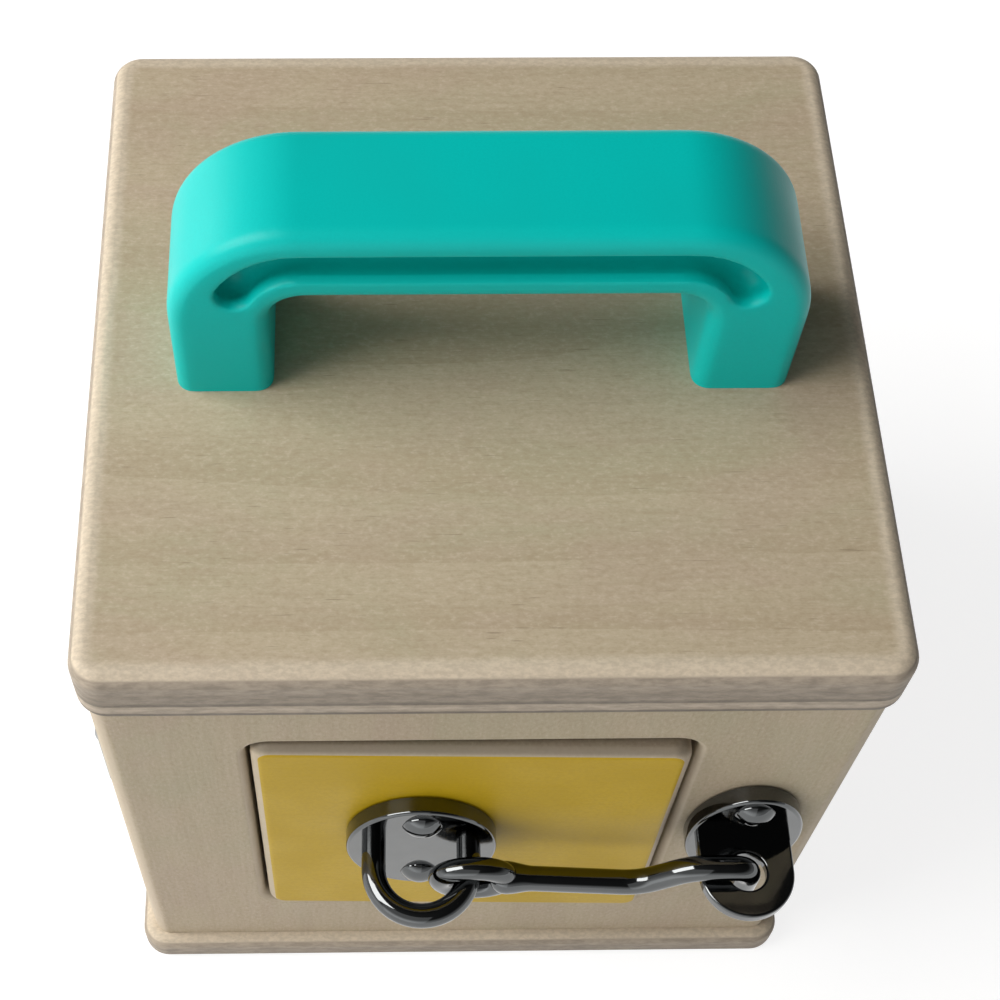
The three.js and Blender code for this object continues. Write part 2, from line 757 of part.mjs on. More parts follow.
// Right: a barrel bolt slides in two straps on the door, into a strap on the wall
function strap(width, axisRise, faceOfPlate, x) {
  const inner = boltRadius + slideGap;
  const outer = inner + boltStrapWall;
  const arch = new THREE.Shape();
  arch.moveTo(outer, -boltPlateThick / 2);
  arch.lineTo(outer, axisRise);
  arch.absarc(0, axisRise, outer, 0, Math.PI);
  arch.lineTo(-outer, -boltPlateThick / 2);
  arch.lineTo(-inner, -boltPlateThick / 2);
  arch.lineTo(-inner, axisRise);
  arch.absarc(0, axisRise, inner, Math.PI, 0, true);
  arch.lineTo(inner, -boltPlateThick / 2);
  const options = { depth: width, curveSegments: boreSides / 3, bevelEnabled: false };
  const loop = new THREE.ExtrudeGeometry(arch, options);
  const toSide = new THREE.Matrix4().makeBasis(at(0, 0, 1), at(0, -1, 0), at(1, 0, 0));
  return loop.applyMatrix4(toSide).translate(x - width / 2, faceOfPlate, latchHeight);
}

function boltPlate(length, x, backOfPlate) {
  const outline = rectangleOutline(length, boltPlateHeight, boltPlateCorner);
  const plate = slab(outline, boltPlateThick, 0, boltPlateThick / 4);
  return upright(plate).translate(x, backOfPlate, latchHeight);
}

const boltPlateBack = doorFace - seatGap;
const boltPlateFace = boltPlateBack - boltPlateThick;
const boltOut = boltPlateFace - boltAxisRise;
const boltPlateRight = doorRight - boltSetBack;
const boltPlateAcross = boltPlateRight - boltPlateLength / 2;
const boltDoorHoles = boltScrewHoles(boltPlateAcross, boltPlateFace);
const rightLeaf = addDoor(right, 'right', redPaint, 0, boltDoorHoles);
const strapPlaces = [-1, 1].map((way) => boltPlateAcross
  + way * (boltPlateLength / 2 - boltStrapEnd - boltStrapWidth / 2));
const boltStraps = strapPlaces.map((x) => strap(boltStrapWidth, boltAxisRise, boltPlateFace, x));
const boltBase = joined(boltPlate(boltPlateLength, boltPlateAcross, boltPlateBack), ...boltStraps);
addTo(rightLeaf, 'bolt_plate', cut(boltBase, ...boltDoorHoles), nickel);

const boltTip = boltPlateRight - boltStrapEnd;
const boltKnobAcross = strapPlaces[0] + boltStrapWidth / 2 + boltKnobRadius + slideGap;
const boltRod = cylinder(
  boltRadius,
  at(boltTip - boltLength, boltOut, latchHeight),
  at(boltTip, boltOut, latchHeight),
);
const boltStem = cylinder(
  boltKnobStem,
  at(boltKnobAcross, boltOut, latchHeight),
  at(boltKnobAcross, boltOut - boltKnobReach, latchHeight),
);
const boltBall = new THREE.SphereGeometry(boltKnobRadius, rodSides, rodSides / 2);
boltBall.translate(boltKnobAcross, boltOut - boltKnobReach, latchHeight);
addTo(right, 'slide_bolt', joined(boltRod, boltStem, boltBall), nickel);

const boltKeeperBase = boltPlate(boltKeeperLength, boltKeeperAcross, boltKeeperBack);
const boltKeeperStrap = strap(boltStrapWidth, boltKeeperFace - boltOut, boltKeeperFace, boltKeeperAcross);
const boltKeeperHoles = boltScrewHoles(boltKeeperAcross, boltKeeperFace);
addTo(right, 'bolt_keeper', cut(joined(boltKeeperBase, boltKeeperStrap), ...boltKeeperHoles), nickel);
ways.forEach(([place, way]) => {
  const z = latchHeight + way * boltScrewRise;
  const head = [smallHeadRadius, smallHeadRise, screwLength];
  addScrew(rightLeaf, `bolt_screw_${place}`, boltPlateAcross, z, boltPlateFace, ...head);
  addScrew(right, `bolt_keeper_screw_${place}`, boltKeeperAcross, z, boltKeeperFace, ...head);
});

// Left: a turn button on the wall, upright at rest, that swings across the edge of the door
addDoor(left, 'left', greenPaint, 0, []);
const buttonOutline = rectangleOutline(buttonWidth, buttonLength, buttonWidth / 2);
const buttonBar = upright(slab(buttonOutline, buttonThick, buttonEdge / 2, buttonEdge));
buttonBar.translate(buttonAcross, buttonBack, latchHeight);
const buttonHub = cylinder(
  buttonHubRadius,
  at(buttonAcross, -seatGap, latchHeight),
  at(buttonAcross, buttonBack - buttonThick / 2, latchHeight),
);
addTo(left, 'turn_button', cut(joined(buttonBar, buttonHub), buttonHole()), nickel);
const buttonHead = [smallHeadRadius, smallHeadRise, buttonScrewLength];
addScrew(left, 'turn_button_screw', buttonAcross, latchHeight, buttonFace, ...buttonHead);

// Back: a wooden bar slides in two guides on the door, into a guide on the wall
const backLeaf = addDoor(back, 'back', bluePaint, 0, []);
const barBack = doorFace - seatGap - slideGap;
const barFront = barBack - barThick;
const barRight = doorRight - barSetBack;
const barAcross = barRight - barLength / 2;

function guide(x, backOfGuide) {
  const outline = rectangleOutline(guideWidth, guideHeight, guideEdge);
  const block = slab(outline, backOfGuide - barFront + slideGap + guideCover, 0, guideEdge);
  const notchOut = barFront - slideGap;
  const notchIn = backOfGuide + barThick;
  const notch = new THREE.BoxGeometry(2 * guideWidth, notchIn - notchOut, barHeight + 2 * slideGap);
  notch.translate(x, (notchIn + notchOut) / 2, latchHeight);
  return cut(upright(block).translate(x, backOfGuide, latchHeight), notch);
}

const guideRight = doorRight - guideSetBack - guideWidth / 2;
addTo(backLeaf, 'bar_guide_inner', guide(guideRight - guideSpan, doorFace - seatGap), bareWood);
addTo(backLeaf, 'bar_guide_outer', guide(guideRight, doorFace - seatGap), bareWood);
addTo(back, 'bar_guide_wall', guide(doorwayRight + guideWallShift, -seatGap), bareWood);
const barOutline = rectangleOutline(barLength, barHeight, barEdge);
const barBody = upright(slab(barOutline, barThick, barEdge, barEdge));
barBody.translate(barAcross, barBack, latchHeight);
const pegAcross = guideRight - guideSpan + guideWidth / 2 + slideGap + barPegRadius;
const barPeg = cylinder(
  barPegRadius,
  at(pegAcross, barFront + barThick / 2, latchHeight),
  at(pegAcross, barFront - barPegReach, latchHeight),
);
addTo(back, 'slide_bar', joined(barBody, barPeg), bareWood);

export default lockBox;
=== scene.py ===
"""Looks for the wooden toy lock box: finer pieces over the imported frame, with materials, light and camera."""
import math

import bmesh
import bpy
from mathutils import Matrix, Vector


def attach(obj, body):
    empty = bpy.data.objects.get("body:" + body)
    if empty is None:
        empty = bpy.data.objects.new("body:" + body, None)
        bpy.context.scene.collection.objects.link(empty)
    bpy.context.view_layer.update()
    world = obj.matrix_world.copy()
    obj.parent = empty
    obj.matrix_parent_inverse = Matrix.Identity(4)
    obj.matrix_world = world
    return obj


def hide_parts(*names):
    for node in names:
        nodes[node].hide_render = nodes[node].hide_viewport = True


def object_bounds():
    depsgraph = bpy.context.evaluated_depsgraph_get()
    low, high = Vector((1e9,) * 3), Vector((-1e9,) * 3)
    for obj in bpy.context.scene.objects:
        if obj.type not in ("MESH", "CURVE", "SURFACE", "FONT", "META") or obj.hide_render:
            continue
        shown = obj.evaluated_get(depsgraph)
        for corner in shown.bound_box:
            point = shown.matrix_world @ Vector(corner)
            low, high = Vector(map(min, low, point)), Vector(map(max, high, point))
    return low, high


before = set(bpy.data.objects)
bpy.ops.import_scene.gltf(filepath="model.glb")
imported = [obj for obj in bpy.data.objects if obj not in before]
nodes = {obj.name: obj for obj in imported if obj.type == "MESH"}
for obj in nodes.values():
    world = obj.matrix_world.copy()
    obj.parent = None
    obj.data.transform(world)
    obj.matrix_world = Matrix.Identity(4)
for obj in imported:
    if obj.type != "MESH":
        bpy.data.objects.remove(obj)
cad_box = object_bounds()
MM = 0.001

# Sizes of the part's source, in millimetres, with AJAR and GROOVE_END in degrees
BODY_W, BODY_D, WALL_LOW, WALL_TOP, WALL_T, WALL_CORNER = 147.0, 145.0, 10.0, 136.0, 12.0, 4.0
BASE_T, BASE_OVER, BASE_EDGE = 10.0, 3.0, 3.0
LID_T, LID_OVER, LID_EDGE, BOARD_CORNER = 16.0, 1.5, 3.2, 6.0
BASE_SCREW_X, BASE_SCREW_Y, BASE_SCREW_R, BASE_SCREW_SINK = 56.0, 66.5, 4.0, 0.5
DOORWAY_L, DOORWAY_R, DOORWAY_LOW, DOORWAY_HIGH = -45.65, 40.65, 33.0, 121.8
DOORWAY_CORNER, DOORWAY_EDGE = 5.0, 2.0
DOOR_L, DOOR_R, DOOR_LOW, DOOR_HIGH = -44.75, 39.35, 34.0, 120.8
DOOR_T, DOOR_FACE, DOOR_EDGE, DOOR_BACK_EDGE, DOOR_CORNER = 12.0, -1.2, 2.5, 1.0, 4.0
PIN_X, PIN_Y, PIN_R, PIN_GRIP, BORE_GAP, AJAR = -39.75, 3.0, 1.5, 8.0, 0.3, 1.0
SEAT_GAP, SLIDE_GAP = 0.3, 0.5
LATCH = 80.0

HANDLE_L, HANDLE_D, HANDLE_H, HANDLE_LEG, HANDLE_BAR = 116.0, 26.2, 44.3, 18.4, 17.0
HANDLE_OUTER, HANDLE_INNER, HANDLE_EDGE = 24.0, 7.0, 3.2
GROOVE_R, GROOVE_DROP, GROOVE_INSET, GROOVE_BEND, GROOVE_END = 3.45, 8.25, 10.95, 13.55, 27.0

PLATE_X, PLATE_W, PLATE_H, PLATE_T, PLATE_FACE = -11.3, 31.0, 40.0, 3.5, -5.0
PLATE_SCREW, SCREW_R, SCREW_RISE, SMALL_R, SMALL_RISE = 13.0, 4.1, 2.2, 2.9, 1.7
BAIL_R, BAIL_SPAN, BAIL_REACH = 2.5, 19.5, 16.6
HOOK_R, HOOK_Y, EYE_X, EYE_Z, EYE_R, EYE_TUBE = 2.6, -11.6, -1.799, 79.9, 5.5, 2.35
NECK_R, HOOK_DIP, HOOK_LIFT, HOOK_SLOPE, HOOK_BEND, TIP_BELOW = 3.4, 4.0, 3.2, 0.6, 4.0, 2.5
CRANK_FOOT, CRANK_HEAD = 21.7, 11.5
KEEPER_X, KEEPER_W, KEEPER_H, KEEPER_FACE, KEEPER_SCREW = 55.2, 23.5, 40.0, -3.8, 13.5
TONGUE_W, TONGUE_T, TONGUE_TOP, TONGUE_REACH, TONGUE_HOLE, TONGUE_EDGE = 19.4, 3.0, 80.8, 17.0, 4.0, 0.6

BOLT_X, BOLT_Y, BOLT_R, BOLT_LOW, BOLT_HIGH = 15.65, -7.7, 3.0, -8.35, 35.65
BOLT_PLATE_L, BOLT_PLATE_H, BOLT_PLATE_T, BOLT_PLATE_CORNER, BOLT_FACE = 43.0, 25.0, 1.6, 3.0, -3.1
STRAP_W, STRAP_WALL, STRAP_SPREAD, BOLT_SCREW = 7.0, 1.5, 16.5, 8.8
KNOB_X, KNOB_R, KNOB_STEM, KNOB_REACH = 6.75, 3.6, 1.9, 9.5
BOLT_KEEPER_X, BOLT_KEEPER_L, BOLT_KEEPER_FACE = 53.65, 12.0, -1.9

BUTTON_X, BUTTON_L, BUTTON_W, BUTTON_T, BUTTON_EDGE = 50.65, 36.0, 13.0, 3.0, 1.2
BUTTON_FACE, HUB_R = -4.8, 5.0

BAR_X, BAR_L, BAR_H, BAR_T, BAR_EDGE, BAR_FRONT = 4.95, 62.0, 14.0, 8.0, 1.2, -10.0
PEG_X, PEG_R, PEG_REACH = -4.55, 4.0, 13.0
GUIDE_W, GUIDE_H, GUIDE_COVER, GUIDE_EDGE = 10.0, 30.0, 5.0, 1.2
GUIDE_INNER_X, GUIDE_OUTER_X, GUIDE_WALL_X = -14.05, 29.95, 50.15

# The scene's own sizes, in millimetres, where it is finer than the source or differs from it a little
GROOVE_SINK, PLATE_RIM, NECK_L, BOLT_BEVEL, HEAD_SUNK = 3.5, 0.7, 6.0, 0.6, 1.0
EYE_STRETCH, EYE_SHIFT = 1.0, 0.9
HANDLE_SPARE, HANDLE_VOXEL, CUT_PAST, POINT_R = 4.0, 0.5, 1.0, 0.02

# Counts: how finely round shapes are divided, how often the handle is relaxed, and a door's painted rings
ROD_SIDES, BORE_SIDES, GROOVE_SIDES, TURNED_SIDES, OVAL_SIDES = 32, 20, 40, 40, 96
EYE_AROUND, EYE_SIDES, DOME_STEPS, HEAD_STEPS = 64, 28, 6, 10
HANDLE_RELAX, PAINTED_RINGS = 9, 2

# Degrees: where domes end just short of a point, and past which angle edges stay crisp
DOME_END, KNOB_END, CREASE, FITTING_CREASE = 88, 89, 32, 40


# Shapes are (vertices, faces) in millimetres

def full_turn(sides):
    """Angles all the way round."""
    return [2 * math.pi * k / sides for k in range(sides)]


def arc_points(cx, cy, r, start, end, steps=24):
    """Points along an arc between two angles in degrees."""
    turn = [math.radians(start + (end - start) * k / steps) for k in range(steps + 1)]
    return [(cx + r * math.cos(a), cy + r * math.sin(a)) for a in turn]


def rectangle(width, height, corner, steps=10):
    """The outline of a rounded rectangle, by how far it is drawn in."""
    def outline(inset):
        r = max(corner - inset, POINT_R)
        ax, ay = width / 2 - inset - r, height / 2 - inset - r
        points = []
        for quarter in range(4):
            cx = ax if quarter in (0, 3) else -ax
            cy = ay if quarter < 2 else -ay
            for k in range(steps + 1):
                a = (quarter + k / steps) * math.pi / 2
                points.append((cx + r * math.cos(a), cy + r * math.sin(a)))
        return points
    return outline


def oval(width, height):
    """The outline of an oval, by how far it is drawn in."""
    def outline(inset):
        across, up = width / 2 - inset, height / 2 - inset
        return [(across * math.cos(a), up * math.sin(a)) for a in full_turn(OVAL_SIDES)]
    return outline


def arch():
    """The outline of the handle seen from the front, by how far it is drawn in, with spare length below."""
    def outline(inset):
        half, top, foot = HANDLE_L / 2 - inset, HANDLE_H - inset, -HANDLE_SPARE
        inner, under = HANDLE_L / 2 - HANDLE_LEG + inset, HANDLE_H - HANDLE_BAR + inset
        r, q = HANDLE_OUTER - inset, HANDLE_INNER + inset
        points = [(half, foot)] + arc_points(half - r, top - r, r, 0, 90)
        points += arc_points(r - half, top - r, r, 90, 180) + [(-half, foot), (-inner, foot)]
        points += arc_points(q - inner, under - q, q, 180, 90)
        return points + arc_points(inner - q, under - q, q, 90, 0) + [(inner, foot)]
    return outline


def rim(edge, steps=8):
    """A quarter round as (inset, level) pairs, from the flat to the side."""
    turn = [k / steps * math.pi / 2 for k in range(steps + 1)]
    return [(edge * (1 - math.sin(a)), edge * (1 - math.cos(a))) for a in turn]


def ring_faces(rings, sides, looped=False):
    """Faces between rings of points. A loop also joins the last ring to the first."""
    faces = []
    for r in range(rings if looped else rings - 1):
        low, high = r * sides, (r + 1) % rings * sides
        for i in range(sides):
            j = (i + 1) % sides
            faces.append((low + i, low + j, high + j, high + i))
    return faces


def capped(rings, sides):
    """Faces between rings of points, then one over the first ring and one over the last."""
    last = (rings - 1) * sides
    return ring_faces(rings, sides) + [tuple(reversed(range(sides))), tuple(range(last, last + sides))]


def loft(outline, rings):
    """A closed shape through outlines, each drawn in by an inset at a level. Its last face is the top."""
    verts = [(x, y, level) for inset, level in rings for x, y in outline(inset)]
    return verts, capped(len(rings), len(verts) // len(rings))


def slab(outline, thick, lower, upper):
    """A slab from z = 0 to its thickness, with rounded rims."""
    low = rim(lower) if lower else [(0, 0)]
    high = [(inset, thick - z) for inset, z in rim(upper)][::-1] if upper else [(0, thick)]
    return loft(outline, low + high)


def tube(points, radii, sides, domed=True):
    """A round rod along points in space, with one radius for each point."""
    pts = [Vector(p) for p in points]
    rings = []
    normal = None
    for i, p in enumerate(pts):
        t = (pts[min(i + 1, len(pts) - 1)] - pts[max(i - 1, 0)]).normalized()
        normal = t.orthogonal().normalized() if normal is None else (normal - t * normal.dot(t)).normalized()
        rings.append((p, t, normal.copy(), radii[i]))
    if domed:
        swell = [math.radians(DOME_END) * k / DOME_STEPS for k in range(1, DOME_STEPS + 1)]
        p, t, nrm, r = rings[0]
        start = [(p - t * r * math.sin(a), t, nrm, r * math.cos(a)) for a in swell[::-1]]
        p, t, nrm, r = rings[-1]
        rings = start + rings + [(p + t * r * math.sin(a), t, nrm, r * math.cos(a)) for a in swell]
    verts = []
    for p, t, nrm, r in rings:
        side = t.cross(nrm)
        verts += [tuple(p + nrm * (r * math.cos(a)) + side * (r * math.sin(a))) for a in full_turn(sides)]
    return verts, capped(len(rings), sides)


def torus(major, minor, around, sides):
    """A ring about the y axis."""
    verts = []
    for a in full_turn(around):
        for b in full_turn(sides):
            r = major + minor * math.cos(b)
            verts.append((r * math.cos(a), minor * math.sin(b), r * math.sin(a)))
    return verts, ring_faces(around, sides, looped=True)


def lathe(profile):
    """A turned piece about the outward axis -y, from a profile of (radius, distance outwards)."""
    turn = full_turn(TURNED_SIDES)
    verts = [(r * math.cos(a), -out, r * math.sin(a)) for r, out in profile for a in turn]
    return verts, capped(len(profile), TURNED_SIDES)


def cuboid(low, high):
    """A plain block between two corners, for cutting."""
    (x0, y0, z0), (x1, y1, z1) = low, high
    verts = [(x, y, z) for z in (z0, z1) for x, y in ((x0, y0), (x1, y0), (x1, y1), (x0, y1))]
    return verts, [(3, 2, 1, 0), (4, 5, 6, 7), (0, 1, 5, 4), (1, 2, 6, 5), (2, 3, 7, 6), (3, 0, 4, 7)]


def joined(*shapes):
    """Several shapes as one, each still closed in itself."""
    verts, faces = [], []
    for v, f in shapes:
        base = len(verts)
        verts += list(v)
        faces += [tuple(i + base for i in face) for face in f]
    return verts, faces


def moved(shape, x, y, z):
    return [(vx + x, vy + y, vz + z) for vx, vy, vz in shape[0]], shape[1]


def stood(shape, x, y, z):
    """A flat shape stood up against a front: its thickness grows outwards."""
    return [(x + vx, y - vz, z + vy) for vx, vy, vz in shape[0]], shape[1]


def bent(points, radius, steps, stride):
    """Points along a path whose inner corners are bent round, less than two strides apart."""
    pts = [Vector(p) for p in points]
    path = [pts[0]]
    for before, corner, after in zip(pts, pts[1:], pts[2:]):
        a = corner + (before - corner).normalized() * radius
        b = corner + (after - corner).normalized() * radius
        for t in (k / steps for k in range(steps + 1)):
            path.append(a * (1 - t) ** 2 + corner * (2 * t * (1 - t)) + b * t ** 2)
    path.append(pts[-1])
    full = [path[0]]
    for start, end in zip(path, path[1:]):
        cuts = max(1, int((end - start).length / stride))
        full += [start.lerp(end, k / cuts) for k in range(1, cuts + 1)]
    return full


# Sides of the box: name, quarter turns and the distance of the wall's face
SIDES = {"front": (0, BODY_D / 2), "right": (1, BODY_W / 2), "back": (2, BODY_D / 2), "left": (3, BODY_W / 2)}


def on_side(shape, side, ajar=0.0):
    """From a side's own frame, whose wall's face is y = 0 and whose outwards is -y, to the box's.

    What is ajar is turned open about the door's pins first."""
    quarter, distance = SIDES[side]
    swing = Matrix.Translation((PIN_X, PIN_Y, 0)) @ Matrix.Rotation(-math.radians(ajar), 4, "Z")
    swing = swing @ Matrix.Translation((-PIN_X, -PIN_Y, 0))
    place = Matrix.Rotation(quarter * math.pi / 2, 4, "Z") @ Matrix.Translation((0, -distance, 0)) @ swing
    return [tuple(place @ Vector(v)) for v in shape[0]], shape[1]


# Objects

# Points nearer than this are one, in metres
SAME_POINT = 1e-7


def mesh_object(name, shape, *materials):
    """A shape as an object with outward normals."""
    mesh = bpy.data.meshes.new(name)
    mesh.from_pydata([tuple(c * MM for c in v) for v in shape[0]], [], shape[1])
    bm = bmesh.new()
    bm.from_mesh(mesh)
    bmesh.ops.remove_doubles(bm, verts=bm.verts, dist=SAME_POINT)
    bmesh.ops.recalc_face_normals(bm, faces=bm.faces)
    bm.to_mesh(mesh)
    bm.free()
    for material in materials:
        mesh.materials.append(material)
    obj = bpy.data.objects.new(name, mesh)
    bpy.context.scene.collection.objects.link(obj)
    return obj


def settled(obj):
    """The object with its modifiers worked into its mesh."""
    graph = bpy.context.evaluated_depsgraph_get()
    mesh = bpy.data.meshes.new_from_object(obj.evaluated_get(graph))
    obj.modifiers.clear()
    obj.data = mesh
    return obj


def carved(obj, shape):
    """The object with a shape cut out of it."""
    tool = mesh_object("cutter", shape)
    cut = obj.modifiers.new("cut", "BOOLEAN")
    cut.operation, cut.solver, cut.object = "DIFFERENCE", "EXACT", tool
    settled(obj)
    bpy.data.objects.remove(tool)
    return obj


def smoothed(obj, degrees=CREASE):
    """Rounded faces shade smooth, edges past the angle stay crisp, and flats keep flat normals."""
    obj.data.polygons.foreach_set("use_smooth", [True] * len(obj.data.polygons))
    bm = bmesh.new()
    bm.from_mesh(obj.data)
    limit = math.radians(degrees)
    sharp = [len(e.link_faces) == 2 and e.calc_face_angle(0) > limit for e in bm.edges]
    bm.free()
    attributes = obj.data.attributes
    edges = attributes.get("sharp_edge") or attributes.new("sharp_edge", "BOOLEAN", "EDGE")
    edges.data.foreach_set("value", sharp)
    weighted = obj.modifiers.new("weighted", "WEIGHTED_NORMAL")
    weighted.keep_sharp = True
    weighted.weight = 100
    return obj


def finer(obj, node, body):
    """A piece that stands for a CAD node, which it hides, and moves with a body."""
    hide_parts(node)
    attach(obj, body)


# Materials

class Graph:
    """A material's node tree with a principled shader, built up by short calls."""

    def __init__(self, name):
        self.material = bpy.data.materials.new(name)
        self.material.use_nodes = True
        self.tree = self.material.node_tree
        self.tree.nodes.clear()
        self.shader = self.node("BsdfPrincipled")
        self.tree.links.new(self.shader.outputs["BSDF"], self.node("OutputMaterial").inputs["Surface"])

    def node(self, kind):
        return self.tree.nodes.new("ShaderNode" + kind)

    def put(self, socket, value):
        if isinstance(value, bpy.types.NodeSocket):
            self.tree.links.new(value, socket)
        elif socket.type == "RGBA":
            socket.default_value = (*value, 1)
        else:
            socket.default_value = value

    def filled(self, node, **values):
        """A node with inputs set by name, with _ for a space."""
        for name, value in values.items():
            self.put(node.inputs[name.replace("_", " ")], value)
        return node

    def set(self, **values):
        self.filled(self.shader, **values)

    def coordinates(self, kind="Object"):
        return self.node("TexCoord").outputs[kind]

    def mapping(self, vector, scale=(1, 1, 1), rotation=(0, 0, 0), location=(0, 0, 0)):
        node = self.filled(self.node("Mapping"), Vector=vector, Scale=scale, Rotation=rotation,
                           Location=location)
        return node.outputs["Vector"]

    def noise(self, vector, scale, detail=2.0, roughness=0.5, distortion=0.0, location=(0, 0, 0)):
        at = self.mapping(vector, scale, location=location)
        node = self.filled(self.node("TexNoise"), Vector=at, Scale=1.0, Detail=detail, Roughness=roughness,
                           Distortion=distortion)
        return node.outputs["Fac"]

    def rings(self, vector, scale, distortion, detail_scale):
        node = self.node("TexWave")
        node.wave_type, node.rings_direction, node.wave_profile = "RINGS", "SPHERICAL", "SAW"
        self.filled(node, Vector=vector, Scale=scale, Distortion=distortion, Detail=2.0,
                    Detail_Scale=detail_scale)
        return node.outputs["Fac"]

    def ramp(self, value, stops):
        node = self.node("ValToRGB")
        elements = node.color_ramp.elements
        elements.remove(elements[1])
        elements[0].position, elements[0].color = stops[0][0], (*stops[0][1], 1)
        for position, colour in stops[1:]:
            elements.new(position).color = (*colour, 1)
        self.put(node.inputs["Fac"], value)
        return node.outputs["Color"]

    def mix(self, factor, a, b):
        node = self.node("Mix")
        node.data_type = "RGBA"
        factor_in, a_in, b_in = node.inputs[0], node.inputs[6], node.inputs[7]
        self.put(factor_in, factor)
        self.put(a_in, a)
        self.put(b_in, b)
        return node.outputs[2]

    def math(self, operation, a, b=0.0):
        node = self.node("Math")
        node.operation = operation
        self.put(node.inputs[0], a)
        self.put(node.inputs[1], b)
        return node.outputs[0]

    def times(self, colour, factor):
        node = self.node("VectorMath")
        node.operation = "SCALE"
        self.put(node.inputs[0], colour)
        self.put(node.inputs["Scale"], factor)
        return node.outputs["Vector"]

    def step(self, value, low, high, to_low=0.0, to_high=1.0, kind="SMOOTHSTEP"):
        node = self.node("MapRange")
        node.interpolation_type = kind
        self.filled(node, Value=value, From_Min=low, From_Max=high, To_Min=to_low, To_Max=to_high)
        return node.outputs["Result"]

    def stain(self, colour, tint, value, low, high, most):
        """A tint over a colour: none of it where the value is at low, the most of it at high."""
        return self.mix(self.step(value, low, high, 0.0, most), colour, tint)

    def split(self, vector):
        node = self.node("SeparateXYZ")
        self.put(node.inputs[0], vector)
        return node.outputs

    def level_normal(self):
        """1 where the surface lies flat, 0 where it stands upright."""
        return self.math("ABSOLUTE", self.split(self.coordinates("Normal"))["Z"])

    def rounding(self, low, high):
        """1 where the surface turns round an edge, 0 on the flats."""
        x, y, z = (self.math("ABSOLUTE", part) for part in self.split(self.coordinates("Normal")))
        return self.step(self.math("MAXIMUM", self.math("MAXIMUM", x, y), z), high, low)

    def inset(self, half_x, half_y, corner):
        """How far a point lies inside the plan of a board with rounded corners, in metres."""
        x, y = (self.math("ABSOLUTE", self.split(self.coordinates())[axis]) for axis in "XY")
        x = self.math("SUBTRACT", x, (half_x - corner) * MM)
        y = self.math("SUBTRACT", y, (half_y - corner) * MM)
        past = [self.math("POWER", self.math("MAXIMUM", part, 0.0), 2.0) for part in (x, y)]
        reach = self.math("ADD", self.math("SQRT", self.math("ADD", *past)),
                          self.math("MINIMUM", self.math("MAXIMUM", x, y), 0.0))
        return self.math("SUBTRACT", corner * MM, reach)

    def bump(self, height, strength, distance):
        node = self.filled(self.node("Bump"), Height=height, Strength=strength, Distance=distance)
        return node.outputs["Normal"]


def shade(colour, factor):
    """A colour made lighter or darker."""
    return tuple(c * factor for c in colour)


# Bare wood: its colours, and how much pores and torn edges weigh in its relief. The worn colour is also
# painted on round-overs, as worn wood and as painted light where the edges catch it
WOOD_LIGHT, WOOD_DEEP = (0.450, 0.372, 0.262), (0.340, 0.262, 0.168)
WOOD_PINK, WOOD_GREEN, WOOD_WORN_AND_LIT = (0.430, 0.338, 0.248), (0.398, 0.352, 0.236), (0.555, 0.470, 0.360)
WOOD_PLY = (0.275, 0.230, 0.180)
PORE_RISE, TORN_RISE = -0.6, 4.0
# Millimetres: the veneer, how long before and past its depth it fades, how ragged it ends, and the rim of a
# board's top, painted paler as sanded wood and as painted light on its round-over
VENEER, VENEER_BEFORE, VENEER_PAST, VENEER_RAGGED = 0.9, 0.4, 0.1, 0.5
SANDED_LIT_FROM, SANDED_LIT_FULL, SANDED_LIT_WANDER = 6.4, 4.2, 2.0
GRAIN_TURN = {"x": (0, 0, 0), "z": (0, math.pi / 2, 0)}


def veneer_fade(thick):
    """The levels between which a board's veneer gives way to its core, as shares of its thickness."""
    return 1 - (VENEER - VENEER_BEFORE) / thick, 1 - (VENEER + VENEER_PAST) / thick


